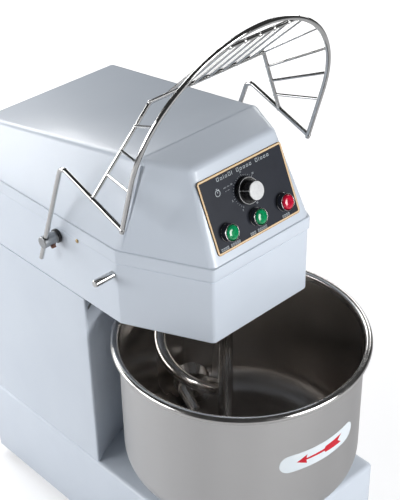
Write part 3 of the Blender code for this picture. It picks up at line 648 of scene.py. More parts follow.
def louvre(width, height, depth, count=16):
    """A pressed air slot: a half-round hood, opening downwards, on a wall that faces +Y; the opening
    is closed by faces that take a second material, painted shade.
    """
    shape = bmesh.new()
    rings = []
    for i in range(count + 1):
        share = 2.0 * i / count - 1.0
        swell = math.sqrt(max(0.0, 1.0 - abs(share) ** 3))
        x = share * width / 2
        ring = [(x, -0.001, -height / 2)]
        for k in range(7):
            turn = math.radians(15.0 * k)
            reach = depth * swell * math.cos(turn)
            ring.append((x, reach + 0.0001, -height / 2 + height * swell * math.sin(turn) + 0.0001))
        ring.append((x, -0.001, -height / 2 + height * swell + 0.0002))
        rings.append(ring)
    chain(shape, rings, True, True)
    bmesh.ops.recalc_face_normals(shape, faces=shape.faces)
    # Faces that look down close the slot's opening and take the near-black second material: painted
    # shade where the slot would be open.
    for face in shape.faces:
        face.material_index = 1 if face.normal.z < -0.9 else 0
    return shape


def pan_screw(radius, height):
    """A low domed screw head with a round drive recess."""
    profile = [(0.0, height * 0.45), (radius * 0.38, height * 0.45), (radius * 0.45, height),
               (radius * 0.75, height * 0.86), (radius, height * 0.35), (radius, -0.0008),
               (0.0, -0.0008)]
    return lathe(profile, 28, height * 0.3)


def make_rear_cover():
    low, high = COVER_LOW, COVER_HIGH
    outline = [(low.x, low.z), (high.x, low.z), (high.x, high.z), (low.x, high.z)]
    stand = Matrix(((1, 0, 0, 0), (0, 0, 1, 0), (0, 1, 0, 0), (0, 0, 0, 1)))
    rings = []
    for inset, y in ((0.0, low.y), (0.0, high.y - 0.0006), (0.0006, high.y)):
        rings.append(level(rounded(offset(outline, inset), 0.006, 5), y))
    shape = moved(chain(bmesh.new(), rings, True, True), stand)
    piece("rear_panel", shape, ENAMEL, "frame", ["rear_cover"])

    slots = []
    for x in (-0.075, 0.075):
        for i in range(7):
            place = Matrix.Translation((x, high.y, 0.330 + 0.020 * i))
            slots.append(moved(louvre(0.090, 0.010, 0.0065), place))
    piece("rear_louvres", merged(slots), [ENAMEL, SHADOW], "frame")

    heads = []
    for x in (low.x + 0.012, high.x - 0.012):
        for z in (low.z + 0.014, middle(low, high).z, high.z - 0.014):
            heads.append(moved(pan_screw(0.004, 0.0024),
                               Matrix.Translation((x, high.y, z)) @ ALONG_Y))
    piece("rear_cover_screws", merged(heads), ZINC, "frame")

    at = Matrix.Translation((middle(GLAND_LOW, GLAND_HIGH).x, 0.0, middle(GLAND_LOW, GLAND_HIGH).z))
    y = high.y
    nut = lathe([(0.0125, y + 0.0068), (0.0125, y + 0.0003), (0.0090, y + 0.0003),
                 (0.0090, y + 0.0068)], 6, 0.0005)
    dome = lathe([(0.0, y + 0.0100), (0.0045, y + 0.0100), (0.0045, y + 0.0133),
                  (0.0072, y + 0.0133), (0.0094, y + 0.0105), (0.0094, y + 0.0066),
                  (0.0, y + 0.0066)], 96, 0.0008, (16, 0.0006, y + 0.0062, y + 0.0108))
    piece("gland_body", merged([nut, dome]), BLACK, "frame", ["cable_gland"],
          at @ ALONG_Y)


# ---------------------------------------------------------------- head and hood
def head_plan():
    """Corners of the head's band seen from above, counter-clockwise."""
    side, rear, front = HEAD_HIGH.x, HEAD_HIGH.y, HEAD_LOW.y
    return [(side, rear), (-side, rear), (-side, HEAD_SIDE_FRONT), (-HEAD_FRONT_HALF, front),
            (HEAD_FRONT_HALF, front), (side, HEAD_SIDE_FRONT)]


def make_head():
    corners = head_plan()
    low, proud = HEAD_LOW.z, BAND_PROUD
    sections = []
    for k in range(5):
        turn = math.radians(22.5 * k)
        sections.append((proud + 0.003 - 0.003 * math.sin(turn), low + 0.003 - 0.003 * math.cos(turn)))
    sections += [(proud, BAND_BOTTOM - 0.0030), (proud + 0.0007, BAND_BOTTOM - 0.0022),
                 (proud + 0.0007, BAND_BOTTOM - 0.0010), (0.0009, BAND_BOTTOM - 0.0004),
                 (0.0003, BAND_BOTTOM + 0.0005), (0.0, BAND_BOTTOM + 0.0020), (0.0, LIP - 0.0022),
                 (0.0003, LIP - 0.0010), (0.0010, LIP - 0.0003), (0.0016, LIP - 0.0001),
                 (0.024, LIP - 0.0001), (0.024, LIP - 0.0030), (proud + SHEET, LIP - 0.0030),
                 (proud + SHEET, low + 0.003)]
    rings = [level(rounded(offset(corners, inset), 0.007, 6), height) for inset, height in sections]
    shape = chain(bmesh.new(), rings, cap_first=True, cap_last=True)
    head = piece("head_casing", shape, ENAMEL, "frame", ["head_housing"])
    holes = [block((-0.150, 0.095, low - 0.01), (0.150, 0.325, low + 0.01))]
    for y, radius in ((SHAFT_AXIS.y, 0.0165), (BREAKER_AXIS.y, 0.0103)):
        holes.append(disc(radius, low - 0.01, low + 0.01, 40, y=y))
    cut(head, holes)


def hood_block(moved_in, low, edge):
    """The hood's faceted form: a block cut back by the plane of each face, its edges rounded."""
    side, rear, front = HEAD_HIGH.x - HOOD_INSET, HEAD_HIGH.y - HOOD_INSET, HEAD_LOW.y + HOOD_INSET
    plan = offset(head_plan(), HOOD_INSET)
    run = (plan[5] - plan[4]).normalized()
    out = Vector((run.y, -run.x))
    faces = [((0, -1, FRONT_LEAN), (0, front, LIP)), ((0, 1, REAR_LEAN), (0, rear, LIP)),
             ((0, 0, 1), (0, 0, HOOD_HIGH.z)), ((0, ROOF_FALL, 1), (0, ROOF_BREAK, HOOD_HIGH.z))]
    for hand in (-1, 1):
        faces.append(((hand, 0, SIDE_LEAN), (hand * side, 0, LIP)))
        faces.append(((hand * out.x, out.y, ANGLE_LEAN), (hand * plan[5].x, plan[5].y, LIP)))
    shape = bmesh.new()
    bmesh.ops.create_cube(shape, size=1.0, matrix=Matrix.Translation((0.0, 0.0, low + 0.5)))
    for normal, point in faces:
        normal = Vector(normal).normalized()
        geometry = shape.verts[:] + shape.edges[:] + shape.faces[:]
        bmesh.ops.bisect_plane(shape, geom=geometry, plane_co=Vector(point) - normal * moved_in,
                               plane_no=normal, clear_outer=True)
        bmesh.ops.holes_fill(shape, edges=[each for each in shape.edges if each.is_boundary])
    bmesh.ops.recalc_face_normals(shape, faces=shape.faces)
    upper = [each for each in shape.edges if each.calc_face_angle(0.0) > math.radians(4.0)
             and max(vert.co.z for vert in each.verts) > low + 0.0005]
    bmesh.ops.bevel(shape, geom=upper, offset=edge, segments=7, profile=0.5, affect='EDGES')
    return shape


def make_hood():
    hood = piece("hood_shell", hood_block(0.0, LIP + 0.0002, 0.0085), ENAMEL, "frame",
                 ["head_cover"])
    tools = [hood_block(0.0020, LIP - 0.05, 0.0074)]
    for u, v, radius in panel_holes():
        place = PANEL_PLACE @ Matrix.Translation((u, v, 0.0))
        tools.append(moved(disc(radius, -0.03, 0.03, 32), place))
    cut(hood, tools[:1])
    cut(hood, tools[1:])


# ---------------------------------------------------------------- control panel
def panel_holes():
    """The place on the panel and the radius of each hole."""
    return [(KNOB_U, KNOB_V, 0.0045)] + [(u, BUTTON_V, 0.0108) for u in BUTTONS.values()]


def plate_outline(inset):
    corners = [(-PLATE_HALF, PLATE_LOW), (PLATE_HALF, PLATE_LOW), (PLATE_HALF, PLATE_HIGH),
               (-PLATE_HALF, PLATE_HIGH)]
    return rounded(offset(corners, inset), max(0.0015, 0.005 - inset), 8)


def border(name, outer, inner, material):
    """A printed line round the plate, between two insets."""
    low, high = PLATE_FACE - 0.0001, PLATE_FACE + 0.0001
    rings = [level(plate_outline(outer), low), level(plate_outline(outer), high),
             level(plate_outline(inner), high), level(plate_outline(inner), low)]
    piece(name, chain(bmesh.new(), rings, closed=True), material, "frame",
          place=PANEL_PLACE)


def mark(u, v, width, height, turn=0.0):
    """A printed bar, centred at a place on the plate."""
    shape = block((-width / 2, -height / 2, -0.0001), (width / 2, height / 2, 0.00012))
    place = Matrix.Translation((u, v, PLATE_FACE)) @ Matrix.Rotation(turn, 4, 'Z')
    return moved(shape, place)


def printed_ring(u, v, outer, inner):
    shape = lathe([(outer, 0.00012), (outer, -0.0001), (inner, -0.0001), (inner, 0.00012)], 40,
                  0.00002, arcs=1)
    return moved(shape, Matrix.Translation((u, v, PLATE_FACE)))


def caption(u, v, pattern, height, stretch=1.0):
    """Blank blocks where a printed caption stands, centred on u: A is tall, a is low, i is thin."""
    gap = height * stretch * 0.32
    widths = {"A": 0.62, "a": 0.55, "i": 0.14, "l": 0.14, " ": 0.50}
    at = u - (sum(widths[kind] * height * stretch + gap for kind in pattern) - gap) / 2
    bars = []
    for kind in pattern:
        width = widths[kind] * height * stretch
        tall = height * (0.70 if kind == "a" else 1.0)
        if kind != " ":
            stroke = height * 0.15
            base = v - height / 2
            bars.append(mark(at + stroke / 2, base + tall / 2, stroke, tall))
            if kind in "Aa":
                bars.append(mark(at + width - stroke / 2, base + tall / 2, stroke, tall))
                bars.append(mark(at + width / 2, base + tall - stroke / 2, width, stroke))
                bars.append(mark(at + width / 2, base + stroke / 2, width, stroke))
        at += width + gap
    return bars


def number(value, u, v, height):
    """A dial number, centred at a place on the plate."""
    curve = bpy.data.curves.new("number", 'FONT')
    curve.body = str(value)
    curve.size = height
    curve.align_x = 'CENTER'
    curve.align_y = 'CENTER'
    curve.extrude = 0.0001
    curve.resolution_u = 4
    holder = bpy.data.objects.new("number", curve)
    bpy.context.scene.collection.objects.link(holder)
    bpy.context.view_layer.update()
    evaluated = holder.evaluated_get(bpy.context.evaluated_depsgraph_get())
    mesh = bpy.data.meshes.new_from_object(evaluated)
    shape = bmesh.new()
    shape.from_mesh(mesh)
    bmesh.ops.remove_doubles(shape, verts=shape.verts, dist=0.000001)
    bpy.data.objects.remove(holder)
    bpy.data.curves.remove(curve)
    bpy.data.meshes.remove(mesh)
    return moved(shape, Matrix.Translation((u, v, PLATE_FACE)))


def dial_angle(share):
    """Direction of a dial mark: the scale runs clockwise over 300 degrees from lower left."""
    return math.radians(240.0 - 300.0 * share)


def make_plate():
    thick = PLATE_FACE
    rings = [level(plate_outline(0.0), 0.0003), level(plate_outline(0.0), thick - 0.0003),
             level(plate_outline(0.0003), thick)]
    plate = piece("panel_plate", chain(bmesh.new(), rings, True, True), SLATE, "frame",
                  ["control_plate"], PANEL_PLACE)
    cut(plate, [moved(disc(radius, -0.01, 0.01, 40, u, v), PANEL_PLACE)
                for u, v, radius in panel_holes()])
    border("panel_edge_line", 0.0004, 0.0016, GOLD)
    border("panel_pale_line", 0.0016, 0.0026, CREAM)
    border("panel_inner_line", 0.0026, 0.0034, GOLD)

    marks = []
    for i in range(31):
        angle = dial_angle(i / 30)
        length = 0.0030 if i % 5 == 0 else 0.0016
        reach = 0.0226 + length / 2
        marks.append(mark(KNOB_U + reach * math.cos(angle), KNOB_V + reach * math.sin(angle),
                          length, 0.0004, angle))
        if i % 5 == 0:
            reach = 0.0287
            marks.append(number(i, KNOB_U + reach * math.cos(angle),
                                KNOB_V + reach * math.sin(angle), 0.0040))
    piece("dial_marks", merged(marks), PALE, "frame", place=PANEL_PLACE)

    clock = [printed_ring(-0.0542, 0.0985, 0.0050, 0.0040), mark(-0.0542, 0.1050, 0.0024, 0.0011),
             mark(-0.0542, 0.0999, 0.0008, 0.0028), mark(-0.0508, 0.1030, 0.0020, 0.0010, -0.8)]
    clock += caption(-0.0362, 0.1012, "aaAa aAa", 0.0017)
    clock += caption(-0.0362, 0.0960, "aaaa aaa", 0.0013)
    piece("timer_symbol", merged(clock), PALE, "frame", place=PANEL_PLACE)

    words = caption(0.0035, 0.1170, "AaiaAl Aaaaa Aiaaa", 0.0056, 1.33)
    words += caption(-0.0590, 0.0195, "AAAA AAAAA", 0.0042)
    words += caption(-0.0015, 0.0195, "AAA AAAAA", 0.0042)
    words += caption(0.0568, 0.0195, "AAAA", 0.0042)
    piece("caption_bars", merged(words), PALE, "frame", place=PANEL_PLACE)


def make_knob():
    front = PLATE_FACE + 0.0004
    at = PANEL_PLACE @ Matrix.Translation((KNOB_U, KNOB_V, 0.0))
    skirt = lathe([(0.0, 0.0094), (0.0186, 0.0094), (0.0190, 0.0100), (0.0197, 0.0100),
                   (0.0205, 0.0088), (0.0205, front), (0.0038, front), (0.0030, front - 0.0006),
                   (0.0030, -0.012), (0.0, -0.012)], 120, 0.0003)
    grip = lathe([(0.0, KNOB_TOP - 0.0012), (0.0142, KNOB_TOP - 0.0012), (0.0146, KNOB_TOP - 0.0022),
                  (0.0148, 0.0092), (0.0, 0.0092)], 180, 0.0003,
                 (40, 0.0006, 0.0093, KNOB_TOP - 0.0020))
    piece("knob_body", merged([skirt, grip]), BLACK, "timer", ["timer_knob"], at)
    face = lathe([(0.0, KNOB_TOP), (0.0132, KNOB_TOP - 0.0001), (0.0138, KNOB_TOP - 0.0004),
                  (0.0138, KNOB_TOP - 0.0013), (0.0, KNOB_TOP - 0.0013)], 72, 0.0002)
    piece("knob_face", face, SILVER, "timer", ["knob_cap"], at)
    pointer = [block((0.0147, -0.00035, 0.0093), (0.0188, 0.00035, 0.0096)),
               block((0.0142, -0.00035, 0.0095), (0.0150, 0.00035, KNOB_TOP - 0.0015))]
    piece("knob_pointer", moved(merged(pointer), Matrix.Rotation(dial_angle(0.26), 4, 'Z')), SILVER,
          "timer", place=at)
    # A thin silver ring on the skirt's top edge: painted highlight.
    rim = lathe([(0.0197, 0.01005), (0.0197, 0.0099), (0.0192, 0.0099), (0.0192, 0.01005)], 96,
                0.00005, arcs=1)
    piece("knob_rim_highlight", rim, SILVER, "timer", place=at)


def make_buttons():
    front = PLATE_FACE + 0.0003
    for name, u in BUTTONS.items():
        at = PANEL_PLACE @ Matrix.Translation((u, BUTTON_V, 0.0))
        bezel = lathe([(0.0118, 0.0128), (0.0123, 0.0133), (0.0131, 0.0133), (0.0134, 0.0124),
                       (0.0134, 0.0038), (0.0139, 0.0034), (0.0139, front), (0.0105, front),
                       (0.0105, -0.022), (0.0096, -0.022), (0.0096, 0.0042), (0.0118, 0.0042)], 80,
                      0.0003)
        piece(f"{name}_ring", bezel, DARK_CHROME, "frame", [f"{name}_bezel"], at)
        cap = lathe([(0.0, 0.0170), (0.0050, 0.0168), (0.0082, 0.0162), (0.0100, 0.0151),
                     (0.0110, 0.0134), (0.0112, 0.0110), (0.0112, 0.0075), (0.0092, 0.0075),
                     (0.0092, -0.012), (0.0030, -0.012), (0.0030, -0.018), (0.0, -0.018)], 72, 0.0006)
        colour, slot = (RED, "red_plastic") if name == "stop" else (GREEN, "green_plastic")
        piece(f"{name}_lens", cap, colour, f"{name}_key", [f"{name}_button"], at)


# ---------------------------------------------------------------- guard and its mounts
def guard_point(x, along, down):
    return (x, -along, -down)


def tilted(drop, along):
    return drop - GUARD_TILT * (along - ARM)


def weld(point, size):
    """A small weld fillet where two wires meet."""
    shape = bmesh.new()
    bmesh.ops.create_icosphere(shape, subdivisions=3, radius=size)
    for vert in shape.verts:
        ripple = math.sin(vert.co.x * 2600.0) * math.sin(vert.co.y * 2300.0 + vert.co.z * 2100.0)
        vert.co *= 1.0 + 0.05 * ripple
    return moved(shape, Matrix.Translation(point))


def crossbars():
    """Both ends, across and along, of each bar from the inner frame to the hoop or the chord."""
    bars = [((0.0, INNER_FRONT), (0.0, CHORD))]
    for hand in (-1, 1):
        for share, angle in ((0.26, None), (0.51, 11.0), (0.76, 28.0), (1.0, 47.0)):
            start = (hand * (GUARD_X + (INNER_HALF - GUARD_X) * share),
                     ARM + (INNER_FRONT - ARM) * share)
            if angle is None:
                end = (hand * HOOP_RADIUS, 0.243)
            else:
                turn = math.radians(angle)
                end = (hand * HOOP_RADIUS * math.cos(turn),
                       HOOP_CENTRE + HOOP_RADIUS * math.sin(turn))
            bars.append((start, end))
        hoop_x = 0.088
        along = HOOP_CENTRE + math.sqrt(HOOP_RADIUS ** 2 - hoop_x ** 2)
        bars.append(((hand * 0.084, INNER_FRONT), (hand * hoop_x, along)))
        for x in (0.028, 0.056):
            bars.append(((hand * x, INNER_FRONT), (hand * x, CHORD)))
    return bars


def make_guard():
    path = [(HOOP_RADIUS, ARM - 0.006)]
    for i in range(97):
        angle = math.pi * i / 96
        path.append((HOOP_RADIUS * math.cos(angle), HOOP_CENTRE + HOOP_RADIUS * math.sin(angle)))
    path.append((-HOOP_RADIUS, ARM - 0.006))
    hoop = [guard_point(x, along, tilted(DROP, along)) for x, along in path]
    wires = [tube(hoop, WIRE, 20)]
    welds = []
    for hand in (-1, 1):
        x = hand * GUARD_X
        arm = [guard_point(x, -0.040, 0.0), guard_point(x, ARM, 0.0),
               guard_point(x, ARM, DROP + 0.003)]
        wires.append(tube(bent(arm, 0.014, 10), WIRE, 20))
        welds.append(weld(guard_point(x, ARM, DROP), 0.0046))
        welds.append(weld(guard_point(x, ARM, INNER_DROP), 0.0045))
    corner = tilted(INNER_DROP, INNER_FRONT)
    inner = [guard_point(-GUARD_X, ARM, INNER_DROP), guard_point(-INNER_HALF, INNER_FRONT, corner),
             guard_point(INNER_HALF, INNER_FRONT, corner), guard_point(GUARD_X, ARM, INNER_DROP)]
    wires.append(tube(bent(inner, 0.008, 6), INNER_WIRE, 16))
    reach = math.sqrt(HOOP_RADIUS ** 2 - (CHORD - HOOP_CENTRE) ** 2)
    chord_drop = tilted(DROP, CHORD)
    ends = [guard_point(-reach, CHORD, chord_drop), guard_point(reach, CHORD, chord_drop)]
    wires.append(tube(ends, INNER_WIRE, 16))
    welds += [weld(end, 0.0042) for end in ends]
    for start, end in crossbars():
        first = guard_point(start[0], start[1], tilted(INNER_DROP, start[1]))
        last = guard_point(end[0], end[1], tilted(DROP, end[1]))
        wires.append(tube([first, last], CROSS_WIRE, 14))
        welds += [weld(first, 0.0034), weld(last, 0.0036)]
    piece("guard_wires", merged(wires), CHROME, "guard", ["guard_frame"], GUARD_PLACE)
    piece("guard_welds", merged(welds), CHROME, "guard", place=GUARD_PLACE)


def mirrored(shape, hand):
    """The left-hand copy of a shape that was made along +X."""
    if hand < 0:
        moved(shape, Matrix.Diagonal((-1.0, 1.0, 1.0, 1.0)))
    return shape


def make_guard_mounts():
    wall = WASHER_LOW.x
    pivot = Matrix.Translation(PIVOT) @ ALONG_X
    peg_at = middle(PEG_LOW, PEG_HIGH)
    screw_at = middle(SCREW_LOW, SCREW_HIGH)
    for side, hand in (("left", -1), ("right", 1)):
        washer = lathe([(WASHER_RADIUS, WASHER_HIGH.x), (WASHER_RADIUS, wall), (PIN_BORE, wall),
                        (PIN_BORE, WASHER_HIGH.x)], 56, 0.0008)
        piece(f"washer_{side}", mirrored(moved(washer, pivot), hand), BLACK, "frame",
              [f"guard_washer_{side}"])
        inside = HUB_LOW.x
        hub = lathe([(0.0, HUB_HIGH.x), (0.0086, HUB_HIGH.x), (HUB_RADIUS, HUB_HIGH.x - 0.0011),
                     (HUB_RADIUS, 0.1752), (0.0094, 0.1747), (0.0094, 0.1741), (HUB_RADIUS, 0.1736),
                     (HUB_RADIUS, inside), (PIN_BORE, inside), (PIN_BORE, 0.1842), (0.0, 0.1842)], 56,
                    0.0004)
        hub = piece(f"hub_{side}", mirrored(moved(hub, pivot), hand), ZINC, "guard",
                    [f"guard_hub_{side}"])
        bore = disc(ARM_BORE, -0.03, 0.03, 32)
        arm = GUARD_PLACE @ Matrix.Translation((hand * GUARD_X, 0.0, 0.0)) @ ALONG_Y
        cut(hub, [moved(bore, arm)])
        bolt_place = (Matrix.Translation(PIVOT + Vector((hand * BOLT_X, 0.0, 0.0)))
                      @ Matrix.Rotation(-math.pi - BOLT_LEAN, 4, 'X'))
        seat = HUB_RADIUS - 0.0008
        washer = lathe([(0.0, seat + 0.0019), (0.0050, seat + 0.0019), (0.0050, seat), (0.0, seat)],
                       36, 0.0003)
        head = lathe([(0.0, seat + 0.0038), (0.0016, seat + 0.0038), (0.0023, seat + 0.0060),
                      (0.0042, seat + 0.0060), (0.0046, seat + 0.0052), (0.0046, seat + 0.0012),
                      (0.0, seat + 0.0012)], 6, 0.0002)
        piece(f"hub_bolt_{side}", merged([washer, head]), COPPER, "guard",
              [f"guard_bolt_{side}"], bolt_place)
        peg = lathe([(0.0, PEG_HIGH.x), (0.0048, PEG_HIGH.x), (0.0060, PEG_HIGH.x - 0.0012),
                     (0.0060, 0.165), (0.009, 0.164), (0.009, 0.157), (0.0, 0.157)], 56, 0.0003)
        place = Matrix.Translation((0.0, peg_at.y, peg_at.z)) @ ALONG_X
        piece(f"peg_{side}", mirrored(moved(peg, place), hand), CHROME, "frame",
              [f"guard_peg_{side}"])
        place = Matrix.Translation((wall - 0.0001, screw_at.y, screw_at.z)) @ ALONG_X
        rim = moved(pan_screw(0.0034, SCREW_HIGH.x - wall), place)
        piece(f"side_screw_{side}", mirrored(rim, hand), BRASS, "frame",
              [f"cover_screw_{side}"])


# ---------------------------------------------------------------- bowl
def arc(cx, cy, radius, start, end, count):
    """Points along an arc, angles in degrees."""
    angles = [math.radians(start + (end - start) * i / count) for i in range(count + 1)]
    return [(cx + radius * math.cos(a), cy + radius * math.sin(a)) for a in angles]


def make_bowl():
    bead_height = BOWL_HIGH.z - BEAD_RADIUS
    bead_centre = (BOWL_HIGH.x - BOWL_LOW.x) / 2 - BEAD_RADIUS
    inner, floor = BOWL_RADIUS - BOWL_SHEET, BOWL_LOW.z + BOWL_SHEET
    inner_corner = BOWL_CORNER - BOWL_SHEET
    inside = [(0.0, floor + 0.0015), (0.020, floor + 0.0012), (0.060, floor)]
    inside += arc(inner - inner_corner, floor + inner_corner, inner_corner, -90, 0, 16)
    inside.append((inner, bead_height - 0.006))
    bead = arc(bead_centre, bead_height, BEAD_RADIUS, 190, -70, 24)
    outside = [(BOWL_RADIUS, bead_height - 0.009)]
    outside += arc(BOWL_RADIUS - BOWL_CORNER, BOWL_LOW.z + BOWL_CORNER, BOWL_CORNER, 0, -90, 16)
    outside.append((0.0, BOWL_LOW.z))
    slots = [0] * (len(inside) - 1) + [1] * len(bead) + [2] * len(outside)
    shape = turned(inside + bead + outside, 160, slots=slots)
    piece("bowl_shell", shape, [INSIDE, BEAD, OUTSIDE], "bowl", ["bowl"],
          Matrix.Translation((*BOWL_AXIS, 0.0)), 40.0)


def wrapped(outline, height, thick, rest):
    """A flat outline (round the wall, and up) bent on to the bowl's outside as a thin film."""
    shape = bmesh.new()
    shape.faces.new([shape.verts.new((x, 0.0, z)) for x, z in outline])
    low, high = min(p[0] for p in outline), max(p[0] for p in outline)
    at = low + 0.003
    while at < high - 0.001:
        geometry = shape.verts[:] + shape.edges[:] + shape.faces[:]
        bmesh.ops.bisect_plane(shape, geom=geometry, plane_co=(at, 0.0, 0.0), plane_no=(1.0, 0.0, 0.0))
        at += 0.003
    raised = bmesh.ops.extrude_face_region(shape, geom=shape.faces[:])["geom"]
    verts = [part for part in raised if isinstance(part, bmesh.types.BMVert)]
    bmesh.ops.translate(shape, verts=verts, vec=(0.0, thick, 0.0))
    for vert in shape.verts:
        angle = vert.co.x / BOWL_RADIUS
        reach = BOWL_RADIUS + rest + vert.co.y
        vert.co = Vector((reach * math.sin(angle), -reach * math.cos(angle), height + vert.co.z))
    return shape


def make_arrow():
    height, half = 0.362, 0.0172
    left, right = -0.079, 0.038
    capsule = arc(left, 0.0, half, 270, 90, 16) + arc(right, 0.0, half, 90, -90, 16)
    place = Matrix.Translation((*BOWL_AXIS, 0.0))
    piece("arrow_label", wrapped(capsule, height, 0.0001, 0.00005), WHITE, "bowl",
          place=place)
    arrow = [(-0.0675, 0.0), (-0.0490, 0.0088), (-0.0505, 0.0018), (-0.0150, 0.0026),
             (-0.0135, 0.0062), (0.0240, 0.0086), (0.0150, 0.0), (0.0240, -0.0086),
             (-0.0135, -0.0062), (-0.0150, -0.0026), (-0.0505, -0.0018), (-0.0490, -0.0088)]
    piece("arrow_print", wrapped(arrow, height, 0.0001, 0.0001), ARROW_RED, "bowl",
          place=place)


# ---------------------------------------------------------------- hook and breaker bar
def hook_path():
    """Centre line of the hook: down from its shaft, round one turn, and in to its axis."""
    path = [(0.0, 0.0, HOOK_START), (0.0, 0.0, HOOK_START - 0.006)]
    for i in range(1, 27):
        share = i / 27
        radius = HOOK_RADIUS * (1 - math.cos(math.pi * share)) / 2
        angle = HOOK_TOP_ANGLE - 1.3 * (1 - share)
        height = HOOK_TOP + (HOOK_START - 0.008 - HOOK_TOP) * (1 - share ** 1.5)
        path.append((radius * math.cos(angle), radius * math.sin(angle), height))
    fall = HOOK_PITCH * HOOK_TURN / math.tau
    for i in range(127):
        share = i / 126
        level_share = max(0.0, share - HOOK_LEVELS) ** 2 / (1 - HOOK_LEVELS) / 2
        angle = HOOK_TOP_ANGLE + HOOK_TURN * share
        path.append((HOOK_RADIUS * math.cos(angle), HOOK_RADIUS * math.sin(angle),
                     HOOK_TOP - fall * (share - level_share)))
    last = Vector(path[-1])
    corner = last + 0.0245 * (last - Vector(path[-4])).normalized()
    return path[:-1] + bent([last, corner, Vector(HOOK_TIP)], 0.0145, 14)


def make_hook():
    at = Matrix.Translation((*SHAFT_AXIS, 0.0))
    piece("hook_bar", tube(hook_path(), HOOK_BAR, 28), POLISHED, "spiral",
          ["spiral_hook"], at)
    low, high = BREAKER_LOW.z, BREAKER_HIGH.z
    bar = lathe([(0.0, high), (0.0098, high), (0.0098, 0.5297), (0.0220, 0.5297), (0.0220, 0.5215),
                 (0.0140, 0.5195), (0.0125, 0.5150), (0.0125, low + 0.009), (0.0090, low),
                 (0.0, low)], 56, 0.0015)
    piece("breaker_post", bar, POLISHED, "frame", ["breaker_bar"],
          Matrix.Translation((*BREAKER_AXIS, 0.0)))


# ---------------------------------------------------------------- pieces kept from the frame
def finish_inner_pieces():
    kept = {
        STEEL: ["bowl_shaft", "spiral_shaft", "motor_shaft", "column_shaft"],
        CAST: ["bowl_turntable", "bowl_pulley", "bowl_bearing_housing", "spiral_pulley",
               "spiral_bearing_housing", "motor_pulley", "column_sprocket", "upper_shaft_bearing",
               "lower_shaft_bearing"],
        RUBBER: ["drive_belt", "bowl_belt"],
        ZINC: ["transfer_chain", "motor_bracket", "breaker_nut", "guard_pin_left",
               "guard_pin_right"],
        BLACK: ["timer_unit", "high_speed_contact", "low_speed_contact", "stop_contact",
                "guard_switch", "contactor_box"],
        MOTOR: ["main_motor"],
    }
    for material, names in kept.items():
        for name in names:
            finish_node(name, material)


# ---------------------------------------------------------------- studio
LIGHT_AIM = Vector((0.0, 0.0, 0.55))
SOFTBOX_AWAY = 2.8
SOFTBOX_SIZE = (1.6, 1.1)
FILL, BACKDROP = 0.05, 1.0        # strength of the surroundings, as light and as seen
GLOW_NEAR, GLOW_FAR = 0.42, 1.0   # what the floor adds for the camera only
GLOW_START, GLOW_END = 1.6, 3.0   # distances between which that rises

CAMERA_AT = (-1.0854, -1.2151, 1.6655)
CAMERA_TURN = (-42.26, 34.57, -1.66)
LENS = 87.68
LENS_SHIFT = (0.0287, 0.0179)


def make_floor():
    """A wide pale floor: soft shadows near the machine, fading to white further away."""
    shape = bmesh.new()
    bmesh.ops.create_grid(shape, x_segments=1, y_segments=1, size=30.0)
    mesh = bpy.data.meshes.new("studio_floor")
    shape.to_mesh(mesh)
    shape.free()
    material = new_material("floor_paint", (0.76, 0.76, 0.77), 0.9)
    vary_colour(material, noise(material, 0.8), (0.74, 0.74, 0.75))
    shader = material.node_tree.nodes["Principled BSDF"]
    shader.inputs["Specular IOR Level"].default_value = 0.0
    path = node(material, "LightPath")
    glow = node(material, "Emission")
    glow.inputs["Color"].default_value = (1.0, 1.0, 1.0, 1.0)
    link = material.node_tree.links.new
    place = node(material, "TexCoord")
    away = node(material, "VectorMath", operation='LENGTH')
    link(place.outputs["Object"], away.inputs[0])
    strength = node(material, "Math", operation='MULTIPLY')
    link(path.outputs["Is Camera Ray"], strength.inputs[0])
    link(ranged(material, away.outputs["Value"], GLOW_NEAR, GLOW_FAR, GLOW_START, GLOW_END),
         strength.inputs[1])
    link(strength.outputs["Value"], glow.inputs["Strength"])
    add = node(material, "AddShader")
    link(shader.outputs["BSDF"], add.inputs[0])
    link(glow.outputs["Emission"], add.inputs[1])
    link(add.outputs["Shader"], material.node_tree.nodes["Material Output"].inputs["Surface"])
    mesh.materials.append(material)
    floor = bpy.data.objects.new("studio_floor", mesh)
    bpy.context.scene.collection.objects.link(floor)


def softbox(azimuth, elevation, power):
    """A rectangular soft light that faces the machine."""
    light = bpy.data.lights.new("softbox", 'AREA')
    light.shape = 'RECTANGLE'
    light.size, light.size_y = SOFTBOX_SIZE
    light.energy = power
    obj = bpy.data.objects.new("softbox", light)
    bpy.context.scene.collection.objects.link(obj)
    a, e = math.radians(azimuth), math.radians(elevation)
    back = Vector((math.sin(a) * math.cos(e), -math.cos(a) * math.cos(e), math.sin(e)))
    obj.location = LIGHT_AIM + back * SOFTBOX_AWAY
    obj.rotation_mode = 'QUATERNION'
    obj.rotation_quaternion = back.to_track_quat('Z', 'Y')
    obj.visible_camera = False


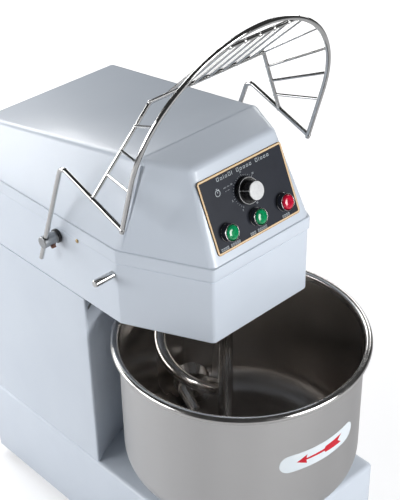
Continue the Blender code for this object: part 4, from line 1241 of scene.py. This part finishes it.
def make_lights():
    """Low soft lights all round the machine, one high at the rear, and a faint even fill."""
    for azimuth, elevation, power in ((10.0, 14.0, 62.0), (-112.0, 14.0, 34.0),
                                      (-150.0, 9.0, 32.0), (170.0, 30.0, 35.0),
                                      (110.0, 20.0, 17.0)):
        softbox(azimuth, elevation, power)
    world = bpy.data.worlds.new("studio")
    bpy.context.scene.world = world
    world.use_nodes = True
    tree = world.node_tree
    seen = tree.nodes.new("ShaderNodeLightPath")
    ramp = tree.nodes.new("ShaderNodeMapRange")
    ramp.inputs["To Min"].default_value = FILL
    ramp.inputs["To Max"].default_value = BACKDROP
    background = tree.nodes["Background"]
    background.inputs["Color"].default_value = (1.0, 1.0, 1.0, 1.0)
    tree.links.new(seen.outputs["Is Camera Ray"], ramp.inputs["Value"])
    tree.links.new(ramp.outputs["Result"], background.inputs["Strength"])


def make_camera():
    """The viewpoint: from the front left and above, with a slight roll."""
    azimuth, elevation, roll = (math.radians(value) for value in CAMERA_TURN)
    back = Vector((math.sin(azimuth) * math.cos(elevation),
                   -math.cos(azimuth) * math.cos(elevation), math.sin(elevation)))
    right = Vector((math.cos(azimuth), math.sin(azimuth), 0.0))
    up = back.cross(right)
    across = right * math.cos(roll) + up * math.sin(roll)
    upward = up * math.cos(roll) - right * math.sin(roll)
    data = bpy.data.cameras.new("camera")
    data.sensor_width = 36.0
    data.lens = LENS
    data.shift_x, data.shift_y = LENS_SHIFT
    camera = bpy.data.objects.new("camera", data)
    bpy.context.scene.collection.objects.link(camera)
    turn = Matrix((across, upward, back)).transposed()
    camera.matrix_world = Matrix.Translation(CAMERA_AT) @ turn.to_4x4()
    bpy.context.scene.camera = camera


# ---------------------------------------------------------------- the whole scene
make_camera()
make_base()
make_feet()
make_column()
make_rear_cover()
make_head()
make_hood()
make_plate()
make_knob()
make_buttons()
make_guard()
make_guard_mounts()
make_bowl()
make_arrow()
make_hook()
finish_inner_pieces()
make_floor()
make_lights()
bpy.context.scene.view_settings.view_transform = 'Standard'
